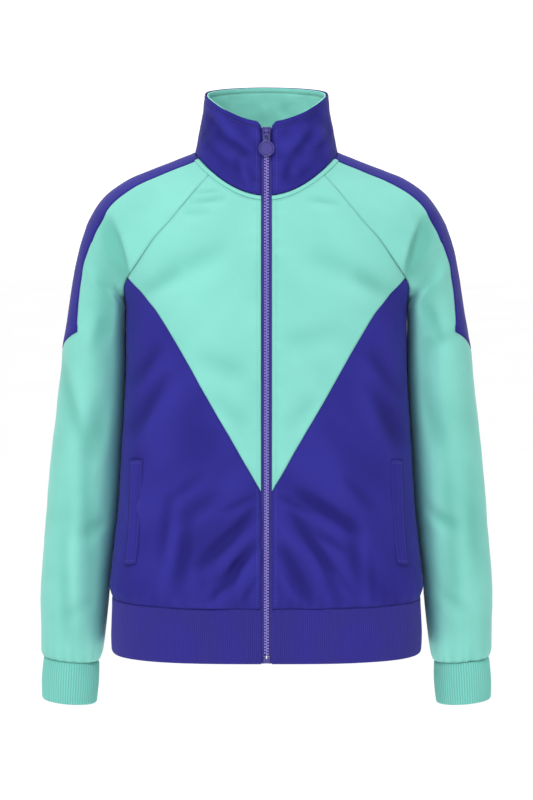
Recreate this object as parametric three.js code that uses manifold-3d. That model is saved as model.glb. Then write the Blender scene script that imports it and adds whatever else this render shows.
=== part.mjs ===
import * as THREE from 'three';
import { mergeVertices } from 'three/addons/utils/BufferGeometryUtils.js';
import Module from 'manifold-3d';

// A zip-front track jacket, filled out as worn. Millimetres, +Z up, the front faces -Y.
// The origin is the middle of the neck base, at the height of the side neck points.
// Left and right are the wearer's, so the left side is at +X. A turn is the angle round
// the body from the front centre: a quarter turn is the side, a half turn the back centre.

// Driving sizes
const WALL = 1.2; // panel cloth
const SEAM_GAP = 0.3; // between two pieces at a seam
const LAP_GAP = 0.3; // under a piece that lies on another
const ZIP_HALF = 6.2; // panel edges from the centre line
const GIRTH = 140; // mm of cloth for one radian of turn, to space points along a seam
const HEM_SEAM_Z = -510;
const HEM_BOTTOM_Z = -574;
const UNDERARM_Z = -172;
const CUFF_SEAM_Z = -593.5; // at the inner side of the sleeve
const CUFF_LENGTH = 50;
const RIB_WALL = 1.4;
const RIB_RISE = 0.55;
const HEM_RIB_PITCH = 2.4;
const CUFF_RIB_PITCH = 3;
const BAND_WIDTH = 5.5;
const BAND_WALL = 0.7;
const WELT_WALL = 1.2;

const SIDE = Math.PI / 2;
const BACK = Math.PI;

// Where the raglan seams and the stripe edges meet the neck seam
const FRONT_NECK_TURN = THREE.MathUtils.degToRad(51);
const BACK_NECK_TURN = THREE.MathUtils.degToRad(130);
const STRIPE_NECK_TURN = THREE.MathUtils.degToRad(70);

const NECK = { width: 83, front: 80, back: 62, z: 8, frontDrop: 45, backRise: 12, blend: 50 };
const COLLAR = {
  width: 71.5, front: 66, back: 56, z: 75, frontDrop: 28, backRise: 7,
  lift: 0.5, bow: 0.1, notch: 6, notchFrom: 4, notchTo: 12,
};

// Body sections: half width, depth in front and behind, and how square the section is
const BODY = [
  { z: -574, width: 181.5, front: 114, back: 105, square: 3.0 },
  { z: -558, width: 182.3, front: 114.5, back: 105.5, square: 3.0 },
  { z: -510, width: 180.6, front: 113.5, back: 104.5, square: 3.0 },
  { z: -498, width: 184, front: 116, back: 106.5, square: 2.9 },
  { z: -473, width: 181.2, front: 116, back: 103, square: 2.7 },
  { z: -435, width: 177, front: 116, back: 100.5, square: 2.6 },
  { z: -398, width: 173, front: 117, back: 99, square: 2.6 },
  { z: -342, width: 169.8, front: 118, back: 98, square: 2.6 },
  { z: -285, width: 166, front: 119, back: 100, square: 2.6 },
  { z: -230, width: 163.6, front: 119.5, back: 103, square: 2.6 },
  { z: -172, width: 163.8, front: 117, back: 106, square: 2.6 },
  { z: -155, width: 166.5, front: 115, back: 106.5, square: 2.65 },
  { z: -138, width: 172, front: 113, back: 107, square: 2.7 },
  { z: -110, width: 180, front: 109, back: 105, square: 2.7 },
  { z: -85, width: 180, front: 103, back: 101, square: 2.6 },
  { z: -58, width: 166, front: 93, back: 95, square: 2.5 },
  { z: -35, width: 142, front: 79.5, back: 86, square: 2.4 },
  { z: -6, width: 98, front: 62, back: 73, square: 2.3 },
  { z: 8, width: 84, front: 60, back: 68, square: 2.2 },
  { z: 22, width: 74, front: 55, back: 61, square: 2.1 },
];

// The V between the upper and lower fronts, from the zip out to the raglan seam
const V_SEAM = [
  { x: ZIP_HALF, z: -373 },
  { x: 22, z: -346 },
  { x: 64, z: -273 },
  { x: 100, z: -210 },
  { x: 124, z: -172 },
  { x: 142, z: -151 },
  { x: 159.7, z: -133 },
];
// Raglan seams below the neck seam. The front one ends at the point of the V.
const FRONT_RAGLAN = [
  { x: 104.5, z: -58 },
  { x: 130.5, z: -88 },
  { x: 148, z: -114 },
  { x: 159.7, z: -133 },
];
const BACK_RAGLAN = [
  { x: 92, z: -38 },
  { x: 122, z: -82 },
  { x: 146, z: -118 },
  { x: 159, z: -146 },
];

// The line along the top and outside of the sleeve, from the side neck point to the underarm ring
const SHOULDER_LINE = [
  { x: 83, y: 0, z: 8 },
  { x: 116, y: 3, z: -5 },
  { x: 139, y: 5, z: -14 },
  { x: 160, y: 7, z: -23 },
  { x: 187, y: 9, z: -42 },
  { x: 206.5, y: 11, z: -70 },
  { x: 217.6, y: 13, z: -98 },
  { x: 226, y: 16, z: -136 },
];
// The raglan rings between the seams: how far the cloth runs on straight from the seam
// and from the shoulder line, in front and behind
const RAGLAN_RINGS = [
  { along: 0, seam: 12, ridge: 18 },
  { along: 0.3, seam: 28, ridge: 42 },
  { along: 0.6, seam: 34, ridge: 58 },
  { along: 0.8, seam: 36, ridge: 64 },
  { along: 1, seam: 75, ridge: 75 },
];
// Closed rings of the sleeve by the height of their inner side: the inner side, how much
// higher the outer side is, the middle of the ring front to back, and its half depth
const ARM = [
  { z: -593.5, inner: 198.5, lift: 5.2, y: 24, depth: 33.5 },
  { z: -581.5, inner: 193.8, lift: 5.3, y: 24.5, depth: 39 },
  { z: -550, inner: 189.5, lift: 5.6, y: 25.5, depth: 44 },
  { z: -519, inner: 186.2, lift: 6, y: 27, depth: 46.5 },
  { z: -490, inner: 184, lift: 6.5, y: 28, depth: 48 },
  { z: -454, inner: 178.9, lift: 7, y: 29.5, depth: 49.5 },
  { z: -398, inner: 172.9, lift: 8, y: 30, depth: 51 },
  { z: -342, inner: 169.5, lift: 9.5, y: 28.5, depth: 52.5 },
  { z: -285, inner: 166, lift: 12, y: 24, depth: 54 },
  { z: -230, inner: 164, lift: 17.5, y: 17.5, depth: 55.5 },
  { z: -200, inner: 164.6, lift: 24, y: 13.5, depth: 56 },
  { z: -172, inner: 164.1, lift: 36, y: 9, depth: 56.25 },
];
// The outside of the sleeve by height
const ARM_OUTLINE = [
  { z: -606, x: 262.8 },
  { z: -589, x: 263.3 },
  { z: -580, x: 266.6 },
  { z: -510, x: 267 },
  { z: -454, x: 263 },
  { z: -398, x: 258.6 },
  { z: -342, x: 253 },
  { z: -285, x: 246 },
  { z: -229, x: 240.5 },
  { z: -192, x: 235 },
  { z: -154, x: 229 },
  { z: -136, x: 226 },
];
// Near the underarm the ring turns: its inner side moves forward and its outer side back
const ARM_SWING = 8;
const ARM_SWING_FROM = -230;
const CHEVRON = { z: -241, rise: 27, spread: 4 }; // the stripe's pointed end, at its middle
// Half the width of the stripe along the sleeve, by part of the way to the chevron
const STRIPE = [
  { along: 0, half: 31 },
  { along: 0.2, half: 34.5 },
  { along: 0.29, half: 40 },
  { along: 0.38, half: 45.5 },
  { along: 0.47, half: 53.5 },
  { along: 0.56, half: 57 },
  { along: 0.64, half: 57 },
  { along: 0.706, half: 53 },
  { along: 0.78, half: 49.5 },
  { along: 1, half: 52 },
];
const STRIPE_MOST = 0.8; // of an arc's length
const NECK_BLEND_ROWS = 4; // rows over which the rings run into the neck seam
// The deep fold from the stripe's edge down to the front of the armpit, by height
const ARM_CREASE = [
  { z: -142, x: 160, depth: 0 },
  { z: -126, x: 163, depth: 4.5 },
  { z: -95, x: 171.5, depth: 7.5 },
  { z: -72, x: 179.5, depth: 3 },
  { z: -58, x: 184.5, depth: 0 },
];
const CREASE_CHEST_SIDE = 9;
const CREASE_ARM_SIDE = 28;

// Soft troughs in the fronts, seen from the front: side is +1 on the left front
const FRONT_FOLDS = [
  { side: -1, fromX: 12, fromZ: -398, toX: 80, toZ: -462, width: 11, depth: 3.4 },
  { side: -1, fromX: 10, fromZ: -425, toX: 62, toZ: -505, width: 10, depth: 3 },
  { side: -1, fromX: 88, fromZ: -400, toX: 104, toZ: -500, width: 12, depth: 2.6 },
  { side: -1, fromX: 120, fromZ: -250, toX: 160, toZ: -330, width: 14, depth: 3 },
  { side: 1, fromX: 34, fromZ: -372, toX: 112, toZ: -424, width: 12, depth: 3.4 },
  { side: 1, fromX: 24, fromZ: -392, toX: 78, toZ: -470, width: 10, depth: 3 },
  { side: 1, fromX: 16, fromZ: -430, toX: 52, toZ: -506, width: 9, depth: 2.6 },
  { side: 1, fromX: 122, fromZ: -255, toX: 160, toZ: -340, width: 13, depth: 2.6 },
];
const BACK_FOLDS = [
  { side: -1, fromX: 30, fromZ: -395, toX: 118, toZ: -455, width: 15, depth: 3.2 },
  { side: -1, fromX: 96, fromZ: -150, toX: 146, toZ: -235, width: 14, depth: 3.4 },
  { side: 1, fromX: 22, fromZ: -420, toX: 104, toZ: -470, width: 14, depth: 3 },
  { side: 1, fromX: 92, fromZ: -155, toX: 142, toZ: -250, width: 15, depth: 3.4 },
];
const BACK_FOLD_SHARE = 0.6; // of the arm's folds, on its back
const ARM_FOLDS = [
  { side: 0, fromX: 196, fromZ: -120, toX: 214, toZ: -178, width: 9, depth: 2.6 },
  { side: 0, fromX: 178, fromZ: -400, toX: 226, toZ: -428, width: 10, depth: 2.8 },
  { side: 0, fromX: 206, fromZ: -300, toX: 222, toZ: -540, width: 12, depth: 2 },
];

const WELT = {
  topOuter: { x: 156.5, z: -343 }, topInner: { x: 142, z: -340 },
  bottomOuter: { x: 163.5, z: -466 }, bottomInner: { x: 150.6, z: -463 },
};

// The zip, with its parts set back from the outer face of the fronts
const TAPE = { from: 3.2, to: 11.8, setBack: 2.2, wall: 0.6, top: 40 };
const CHAIN = { half: 2.8, front: 0.4, back: 3.4, top: 28.6, bottom: -564.6 };
const STOP = { half: 3.6, front: -0.9, back: 1.5, top: -565, bottom: -573 };
const SLIDER = {
  top: 41, bottom: 29, topHalf: 4.6, bottomHalf: 3.8, front: -3, back: 1.3, round: 1.4,
};
const PIVOT = { z: 36.5, standOff: 5.4, bar: 0.8, earFrom: 2.9, earTo: 4.1, earReach: 1.1 };
const PULL = {
  tilt: 2, eyeInner: 1.1, eyeOuter: 2, eyeHalf: 1.5, neckEnd: 3.4, linkHalf: 4, linkEnd: 12,
  linkWall: 1.4, slotHalf: 2.2, slotTop: 5.2, slotBottom: 9, discAt: 20, discRadius: 9,
  discWall: 1.6, rim: 1.3, rimRise: 0.4,
};

// Mesh counts
const V_STEPS = 13;
const RAGLAN_STEPS = 10;
const UNDERARM_STEPS = 3;
const SIDE_STEPS = 12;
const BACK_HALF_COLUMNS = 8;
const SLEEVE_FRONT_COLUMNS = 7;
const STRIPE_COLUMNS = 3;
const COLLAR_HALF_COLUMNS = 16;
const COLLAR_ROWS = 5;
const OPEN_ROWS = RAGLAN_STEPS + UNDERARM_STEPS;
const HALF_COLUMNS = SLEEVE_FRONT_COLUMNS + STRIPE_COLUMNS;
const SLEEVE_COLUMNS = 2 * HALF_COLUMNS;
// Heights of the closed rings at their inner side, with the chevron's ring fourth
const ARM_LEVELS = [
  -187, -203, -221, CHEVRON.z, -265, -297, -338, -382, -425, -468, -511, -553, -582, CUFF_SEAM_Z,
];
const CHEVRON_ROW = OPEN_ROWS + 4;

const MINT = { color: 0x86ddcc, roughness: 0.62, metalness: 0 };
const PURPLE = { color: 0x3d3889, roughness: 0.6, metalness: 0 };
const MINT_RIB = { color: 0x79cfc0, roughness: 0.75, metalness: 0 };
const PURPLE_RIB = { color: 0x383284, roughness: 0.75, metalness: 0 };
const TAPE_WEAVE = { color: 0x3a3580, roughness: 0.8, metalness: 0 };
const TEETH = { color: 0x6a55b0, roughness: 0.4, metalness: 0 };
const PAINTED_METAL = { color: 0x5b50a8, roughness: 0.35, metalness: 0.3 };

const { abs, atan2, cos, max, min, sin, sqrt } = Math;
const mix = THREE.MathUtils.lerp;
const ease = (low, high, x) => THREE.MathUtils.smoothstep(x, low, high);
const vec = (x, y, z) => new THREE.Vector3(x, y, z);
const span = (from, to, steps) => Array.from({ length: steps + 1 }, (_, i) => mix(from, to, i / steps));

/** A smooth curve through one column of a table, read at any value of its key column. */
function curveThrough(table, key, name) {
  const rows = [...table].sort((a, b) => a[key] - b[key]);
  const at = rows.map((row) => row[key]);
  const value = rows.map((row) => row[name]);
  const slope = at.slice(1).map((x, i) => (value[i + 1] - value[i]) / (x - at[i]));
  const tangent = value.map((_, i) => {
    if (i === 0) return slope[0];
    if (i === slope.length) return slope[i - 1];
    const [before, after] = [slope[i - 1], slope[i]];
    return before * after <= 0 ? 0 : (2 * before * after) / (before + after);
  });
  return (x) => {
    const read = min(max(x, at[0]), at[at.length - 1]);
    let i = 0;
    while (i < slope.length - 1 && read > at[i + 1]) i += 1;
    const step = at[i + 1] - at[i];
    const t = (read - at[i]) / step;
    const [t2, t3] = [t * t, t * t * t];
    return (2 * t3 - 3 * t2 + 1) * value[i] + (t3 - 2 * t2 + t) * step * tangent[i]
      + (3 * t2 - 2 * t3) * value[i + 1] + (t3 - t2) * step * tangent[i + 1];
  };
}

const body = Object.fromEntries(
  ['width', 'front', 'back', 'square'].map((name) => [name, curveThrough(BODY, 'z', name)]),
);
const arm = Object.fromEntries(
  ['inner', 'lift', 'y', 'depth'].map((name) => [name, curveThrough(ARM, 'z', name)]),
);
const armOutline = curveThrough(ARM_OUTLINE, 'z', 'x');
const stripeHalf = curveThrough(STRIPE, 'along', 'half');
const ringSeamReach = curveThrough(RAGLAN_RINGS, 'along', 'seam');
const ringRidgeReach = curveThrough(RAGLAN_RINGS, 'along', 'ridge');
const creaseX = curveThrough(ARM_CREASE, 'z', 'x');
const creaseDepth = curveThrough(ARM_CREASE, 'z', 'depth');

/** A point of a rounded section at one turn. */
function sectionPoint(turn, z, width, depth, square) {
  const [s, c] = [abs(sin(turn)), abs(cos(turn))];
  const radius = ((s / width) ** square + (c / depth) ** square) ** (-1 / square);
  return vec(radius * sin(turn), -radius * cos(turn), z);
}

function bodySection(turn, z) {
  const depth = cos(turn) > 0 ? body.front(z) : body.back(z);
  return sectionPoint(turn, z, body.width(z), depth, body.square(z));
}

/** The neck seam, an oval that dips in front and rises a little behind. */
function neckPoint(turn) {
  const c = cos(turn);
  const z = c > 0 ? NECK.z - NECK.frontDrop * c ** 1.9 : NECK.z + NECK.backRise * abs(c) ** 1.5;
  return sectionPoint(turn, z, NECK.width, c > 0 ? NECK.front : NECK.back, 2);
}

/** The body form, which runs into the neck seam at its top. */
function bodyPoint(turn, z) {
  const neck = neckPoint(turn);
  const share = ease(neck.z - NECK.blend, neck.z, z);
  const pull = neck.sub(bodySection(turn, neck.z)).setZ(0);
  return bodySection(turn, z).addScaledVector(pull, share);
}

function bodyNormal(turn, z) {
  const across = bodyPoint(turn + 0.004, z).sub(bodyPoint(turn - 0.004, z));
  const up = bodyPoint(turn, z + 0.5).sub(bodyPoint(turn, z - 0.5));
  return across.cross(up).normalize();
}

/** The turn at which the front or back of the body is x mm from the centre. */
function turnAt(x, z, behind = false) {
  const depth = behind ? body.back(z) : body.front(z);
  const turn = atan2(x, depth * (1 - (x / body.width(z)) ** body.square(z)) ** (1 / body.square(z)));
  return behind ? BACK - turn : turn;
}

/** How deep the folds of a table are at one place, as seen from the front. */
function foldDepth(folds, side, x, z) {
  return folds.reduce((total, fold) => {
    if (fold.side !== 0 && fold.side !== side) return total;
    const [dx, dz] = [fold.toX - fold.fromX, fold.toZ - fold.fromZ];
    const along = ((x - fold.fromX) * dx + (z - fold.fromZ) * dz) / (dx * dx + dz * dz);
    const off = abs((x - fold.fromX) * dz - (z - fold.fromZ) * dx) / Math.hypot(dx, dz);
    if (along <= 0 || along >= 1 || off > 3 * fold.width) return total;
    return total + fold.depth * sin(Math.PI * along) * Math.exp(-((off / fold.width) ** 2));
  }, 0);
}

/** A seam through stations of turn and height, evenly stepped along the cloth. */
function seamThrough(stations, steps) {
  const points = stations.map(([turn, z]) => vec(turn * GIRTH, z, 0));
  const curve = new THREE.CatmullRomCurve3(points, false, 'centripetal');
  return curve.getSpacedPoints(steps).map((point) => [point.x / GIRTH, point.y]);
}

const frontNeck = [FRONT_NECK_TURN, neckPoint(FRONT_NECK_TURN).z];
const backNeck = [BACK_NECK_TURN, neckPoint(BACK_NECK_TURN).z];
const vSeam = seamThrough(V_SEAM.map(({ x, z }) => [turnAt(x, z), z]), V_STEPS);
const apex = vSeam[V_STEPS];
const raglanFront = seamThrough(
  [frontNeck, ...FRONT_RAGLAN.map(({ x, z }) => [turnAt(x, z), z])], RAGLAN_STEPS,
);
const underarm = span(0, 1, UNDERARM_STEPS).map(
  (t) => [mix(apex[0], SIDE, t), mix(apex[1], UNDERARM_Z, t)],
);
const frontArmhole = [...raglanFront, ...underarm.slice(1)];
const backArmhole = seamThrough(
  [backNeck, ...BACK_RAGLAN.map(({ x, z }) => [turnAt(x, z, true), z]), [SIDE, UNDERARM_Z]], OPEN_ROWS,
);
const sideSeam = span(HEM_SEAM_Z, UNDERARM_Z, SIDE_STEPS).map((z) => [SIDE, z]);

/** Rows of turn and height between four seams, each blended from its neighbours. */
function patchBetween(bottom, top, left, right) {
  const [rows, columns] = [left.length - 1, bottom.length - 1];
  return left.map((_, i) => bottom.map((_, j) => {
    const [u, v] = [j / columns, i / rows];
    return [0, 1].map((k) => (1 - v) * bottom[j][k] + v * top[j][k]
      + (1 - u) * left[i][k] + u * right[i][k]
      - (1 - u) * (1 - v) * bottom[0][k] - u * (1 - v) * bottom[columns][k]
      - (1 - u) * v * top[0][k] - u * v * top[columns][k]);
  }));
}

/** Two triangles for each cell of a grid, facing out where columns run towards +X on the front. */
function gridFaces(rowFrom, rowTo, columnFrom, columnTo, id) {
  const faces = [];
  for (let i = rowFrom; i < rowTo; i += 1) {
    for (let j = columnFrom; j < columnTo; j += 1) {
      const [a, b, c, d] = [id(i, j), id(i, j + 1), id(i + 1, j + 1), id(i + 1, j)];
      faces.push([a, b, c], [a, c, d]);
    }
  }
  return faces.filter(([a, b, c]) => a !== b && b !== c && a !== c);
}

function vertexNormals(points, faces) {
  const normals = points.map(() => vec(0, 0, 0));
  for (const face of faces) {
    const [a, b, c] = face.map((id) => points[id]);
    const normal = b.clone().sub(a).cross(c.clone().sub(a));
    face.forEach((id) => normals[id].add(normal));
  }
  return normals.map((normal) => normal.normalize());
}

/** The edges that only one face has, as the face runs along them. */
function freeEdges(faces) {
  const edges = new Map();
  for (const [a, b, c] of faces) {
    for (const [from, to] of [[a, b], [b, c], [c, a]]) {
      if (!edges.delete(`${to},${from}`)) edges.set(`${from},${to}`, [from, to]);
    }
  }
  return [...edges.values()];
}

function meshOf(name, positions, faces, finish) {
  const geometry = new THREE.BufferGeometry();
  const flat = positions.flatMap((point) => point.toArray());
  geometry.setAttribute('position', new THREE.Float32BufferAttribute(flat, 3));
  geometry.setIndex(faces.flat());
  geometry.computeVertexNormals();
  const mesh = new THREE.Mesh(geometry, new THREE.MeshStandardMaterial(finish));
  mesh.name = name;
  return mesh;
}

/**
 * A wall of cloth under a sheet of points and faces. Its edges draw back by half a seam gap,
 * and it gets its thickness along the normals.
 */
function clothWall(name, sheet, finish, { wall = WALL, gap = SEAM_GAP } = {}) {
  const used = [...new Set(sheet.faces.flat())];
  const place = new Map(used.map((id, i) => [id, i]));
  const faces = sheet.faces.map((face) => face.map((id) => place.get(id)));
  const normals = used.map((id) => sheet.normals[id]);
  const outer = used.map((id) => sheet.points[id].clone());
  const edges = freeEdges(faces);
  const inward = outer.map(() => vec(0, 0, 0));
  for (const [from, to] of edges) {
    const run = outer[to].clone().sub(outer[from]).normalize();
    inward[from].add(normals[from].clone().cross(run));
    inward[to].add(normals[to].clone().cross(run));
  }
  inward.forEach((way, i) => {
    if (way.lengthSq() > 0) outer[i].addScaledVector(way, gap / max(way.lengthSq(), 1));
  });
  const inner = outer.map((point, i) => point.clone().addScaledVector(normals[i], -wall));
  const count = outer.length;
  const sides = edges.flatMap(([a, b]) => [[b, a, a + count], [b, a + count, b + count]]);
  const under = faces.map(([a, b, c]) => [c + count, b + count, a + count]);
  return meshOf(name, [...outer, ...inner], [...faces, ...under, ...sides], finish);
}

/** The same sheet on the other side of the body. */
function onSide(side, sheet) {
  if (side > 0) return sheet;
  const flip = vec(-1, 1, 1);
  return {
    points: sheet.points.map((point) => point.clone().multiply(flip)),
    normals: sheet.normals.map((normal) => normal.clone().multiply(flip)),
    faces: sheet.faces.map(([a, b, c]) => [a, c, b]),
  };
}

/** The edge direction that two walls share at a seam. Past a right angle each keeps its own. */
function sharedNormal(own, other) {
  const open = ease(0, 0.5, own.dot(other));
  return own.clone().lerp(own.clone().add(other).normalize(), open).normalize();
}

// How the cloth leaves the raglan seams: off the body near the neck, out along the arm lower
// down, and last straight front to back, where the ring closes under the arm
const FLOW = {
  leanAbove: 0.9, leanBelow: 0.6, inwards: 0.35, up: 0.5, armBack: 0.08, armUp: 0.22,
  toArm: [0.25, 0.6], toFold: [0.76, 1],
};
const shoulderCurve = new THREE.CatmullRomCurve3(
  SHOULDER_LINE.map(({ x, y, z }) => vec(x, y, z)), false, 'centripetal',
);

/** One side of a raglan ring, from a seam point to the shoulder line. */
function raglanArc(along, seamTurn, seamZ, towards) {
  const seamPoint = bodyPoint(seamTurn, seamZ);
  const normal = bodyNormal(seamTurn, seamZ);
  const lean = normal.z > 0 ? FLOW.leanAbove : FLOW.leanBelow;
  const flow = vec(lean - towards * normal.z, -FLOW.inwards * towards, FLOW.up);
  flow.addScaledVector(normal, -flow.dot(normal)).normalize();
  const outwards = vec(1, -FLOW.armBack * towards, FLOW.armUp).normalize();
  const [toArm, toFold] = [ease(...FLOW.toArm, along), ease(...FLOW.toFold, along)];
  const start = flow.lerp(outwards, toArm).lerp(vec(0, towards, 0), toFold).normalize();
  const ridge = shoulderCurve.getPointAt(along);
  return new THREE.CubicBezierCurve3(
    seamPoint,
    seamPoint.clone().addScaledVector(start, ringSeamReach(along)),
    ridge.clone().add(vec(0, towards * ringRidgeReach(along), 0)),
    ridge,
  );
}

/** One side of a closed sleeve ring, from its inner side to its outer side. */
function armArc(z, towards) {
  const top = z + arm.lift(z);
  const swing = ARM_SWING * ease(ARM_SWING_FROM, UNDERARM_Z, z);
  const inner = vec(arm.inner(z), arm.y(z) - swing, z);
  const outer = vec(armOutline(top), arm.y(z) + swing, top);
  const reach = vec(0, (towards * 4 * arm.depth(z)) / 3, 0);
  return new THREE.CubicBezierCurve3(inner, inner.clone().add(reach), outer.clone().add(reach), outer);
}

/** The point of an arc at a sleeve column, where the last columns keep the stripe's width. */
function arcPoint(arc, column, stripe) {
  const share = min(stripe / arc.getLength(), STRIPE_MOST);
  const at = column <= SLEEVE_FRONT_COLUMNS
    ? (column / SLEEVE_FRONT_COLUMNS) * (1 - share)
    : 1 - share + ((column - SLEEVE_FRONT_COLUMNS) / STRIPE_COLUMNS) * share;
  return arc.getPointAt(min(max(at, 0), 1));
}

function neckRowPoint(column) {
  const half = column <= HALF_COLUMNS ? column : SLEEVE_COLUMNS - column;
  const start = column <= HALF_COLUMNS ? FRONT_NECK_TURN : BACK_NECK_TURN;
  const edge = column <= HALF_COLUMNS ? STRIPE_NECK_TURN : BACK - STRIPE_NECK_TURN;
  const turn = half <= SLEEVE_FRONT_COLUMNS
    ? mix(start, edge, half / SLEEVE_FRONT_COLUMNS)
    : mix(edge, SIDE, (half - SLEEVE_FRONT_COLUMNS) / STRIPE_COLUMNS);
  return neckPoint(turn);
}

/** The armpit crease and the small folds of a sleeve, as a move along -normal. */
function sleeveFoldDepth(side, point, normal) {
  if (normal.y > 0.2) return foldDepth(ARM_FOLDS, 0, point.x, point.z) * BACK_FOLD_SHARE;
  const off = point.x - creaseX(point.z);
  const reach = off < 0 ? CREASE_CHEST_SIDE : CREASE_ARM_SIDE;
  const valley = abs(off) < reach ? creaseDepth(point.z) * (1 - ease(0, 1, abs(off) / reach)) : 0;
  return valley * ease(0.2, -0.3, normal.y) + foldDepth(ARM_FOLDS, side, point.x, point.z);
}

/** The outer face of one sleeve with its stripe: rings of points from the neck seam to the cuff. */
function sleeveSheet(side) {
  const neckRow = Array.from({ length: SLEEVE_COLUMNS + 1 }, (_, j) => neckRowPoint(j));
  const arcs = frontArmhole.map(([turn, z], i) => {
    const [backTurn, backZ] = backArmhole[i];
    const along = i / OPEN_ROWS;
    return [raglanArc(along, turn, z, -1), raglanArc(along, backTurn, backZ, 1)];
  });
  const pointOn = (front, back, j, stripe) => (
    j <= HALF_COLUMNS ? arcPoint(front, j, stripe) : arcPoint(back, SLEEVE_COLUMNS - j, stripe)
  );
  const points = [];
  for (let i = 0; i <= OPEN_ROWS; i += 1) {
    const near = max(0, 1 - i / NECK_BLEND_ROWS) ** 2;
    const stripe = stripeHalf(i / CHEVRON_ROW);
    for (let j = 0; j <= SLEEVE_COLUMNS; j += 1) {
      const point = pointOn(...arcs[i], j, stripe);
      const fix = neckRow[j].clone().sub(pointOn(...arcs[0], j, stripeHalf(0)));
      points.push(point.addScaledVector(fix, near));
    }
  }
  ARM_LEVELS.forEach((level, k) => {
    const row = OPEN_ROWS + 1 + k;
    const tent = max(0, 1 - abs(row - CHEVRON_ROW) / CHEVRON.spread);
    for (let j = 0; j <= SLEEVE_COLUMNS; j += 1) {
      const toEdge = min(1, abs(j - HALF_COLUMNS) / STRIPE_COLUMNS);
      const z = level + CHEVRON.rise * tent * toEdge;
      points.push(pointOn(armArc(z, -1), armArc(z, 1), j, stripeHalf(min(1, row / CHEVRON_ROW))));
    }
  });
  const rows = OPEN_ROWS + ARM_LEVELS.length;
  const id = (i, j) => i * (SLEEVE_COLUMNS + 1) + (i >= OPEN_ROWS && j === SLEEVE_COLUMNS ? 0 : j);
  const faces = gridFaces(0, rows, 0, SLEEVE_COLUMNS, (i, j) => id(rows - i, j));
  const smooth = vertexNormals(points, faces);
  const folded = points.map((point, k) => {
    const row = Math.floor(k / (SLEEVE_COLUMNS + 1));
    const column = k % (SLEEVE_COLUMNS + 1);
    const held = row < OPEN_ROWS ? ease(0, 2, min(column, SLEEVE_COLUMNS - column)) : 1;
    const fixed = row === 0 || row === rows ? 0 : held;
    return point.clone().addScaledVector(smooth[k], -fixed * sleeveFoldDepth(side, point, smooth[k]));
  });
  const normals = vertexNormals(folded, faces);
  const stripeFrom = SLEEVE_FRONT_COLUMNS;
  const stripeTo = SLEEVE_COLUMNS - SLEEVE_FRONT_COLUMNS;
  const upper = (from, to, first, last) => gridFaces(from, to, first, last, (i, j) => id(rows - i, j));
  const chevronUp = rows - CHEVRON_ROW;
  return {
    points: folded,
    normals,
    id,
    stripeFaces: upper(chevronUp, rows, stripeFrom, stripeTo),
    mintFaces: [
      ...upper(0, chevronUp, 0, SLEEVE_COLUMNS),
      ...upper(chevronUp, rows, 0, stripeFrom),
      ...upper(chevronUp, rows, stripeTo, SLEEVE_COLUMNS),
    ],
  };
}

/** Joins the sleeve's edge to the armholes: shared edge directions, and clear where it doubles back. */
function fitArmhole(sleeve) {
  const seams = [[frontArmhole, 0], [backArmhole, SLEEVE_COLUMNS]];
  return seams.map(([armhole, column]) => armhole.map(([turn, z], i) => {
    const id = sleeve.id(i, column);
    const panel = bodyNormal(turn, z);
    const own = sleeve.normals[id].clone();
    const doubled = 1 - ease(0, 0.5, own.dot(panel));
    sleeve.points[id].addScaledVector(panel, SEAM_GAP * doubled * (i === OPEN_ROWS && column ? 0 : 1));
    sleeve.normals[id] = sharedNormal(own, panel);
    return sharedNormal(panel, own);
  }));
}

/** A panel of the body from its patch of turns and heights. */
function bodySheet(patch, folds, side) {
  const [rows, columns] = [patch.length - 1, patch[0].length - 1];
  const flat = patch.flat();
  const normals = flat.map(([turn, z]) => bodyNormal(turn, z));
  const points = flat.map(([turn, z], k) => {
    const [i, j] = [Math.floor(k / (columns + 1)), k % (columns + 1)];
    const held = i === 0 || i === rows || j === columns || (j === 0 && folds === FRONT_FOLDS);
    const point = bodyPoint(turn, z);
    const depth = held ? 0 : foldDepth(folds, side, point.x, point.z);
    return point.addScaledVector(normals[k], -depth);
  });
  const id = (i, j) => i * (columns + 1) + j;
  return { points, normals, faces: gridFaces(0, rows, 0, columns, id), id, rows, columns };
}

// The upper front's rows at the zip stand closer together towards the neck
const yokeEdgeHeights = span(0, 1, RAGLAN_STEPS).map(
  (t) => mix(neckPoint(0).z, V_SEAM[0].z, (1 - t) ** 1.6),
);
const zipEdge = (from, to, steps) => span(from, to, steps).map((z) => [turnAt(ZIP_HALF, z), z]);

function yokePatch() {
  const neckEdge = turnAt(ZIP_HALF, -37);
  const neck = span(neckEdge, FRONT_NECK_TURN, V_STEPS).map((turn) => [turn, neckPoint(turn).z]);
  const edge = yokeEdgeHeights.map((z) => [turnAt(ZIP_HALF, z), z]);
  return patchBetween(vSeam, neck, edge, [...raglanFront].reverse());
}

function lowerPatch() {
  const top = [...vSeam, ...underarm.slice(1)];
  const hem = span(turnAt(ZIP_HALF, HEM_SEAM_Z), SIDE, top.length - 1).map((turn) => [turn, HEM_SEAM_Z]);
  return patchBetween(hem, top, zipEdge(HEM_SEAM_Z, V_SEAM[0].z, SIDE_STEPS), sideSeam);
}

/** Half of the back, from its centre out to the side seam and the raglan seam. */
function backPatch() {
  const columns = BACK_HALF_COLUMNS;
  const hem = span(BACK, SIDE, columns).map((turn) => [turn, HEM_SEAM_Z]);
  const neck = span(BACK, BACK_NECK_TURN, columns).map((turn) => [turn, neckPoint(turn).z]);
  const outer = [...sideSeam, ...[...backArmhole].reverse().slice(1)];
  const centre = [
    ...span(HEM_SEAM_Z, UNDERARM_Z, SIDE_STEPS),
    ...span(UNDERARM_Z, neck[0][1], OPEN_ROWS).slice(1),
  ].map((z) => [BACK, z]);
  return patchBetween(hem, neck, centre, outer);
}

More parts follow.
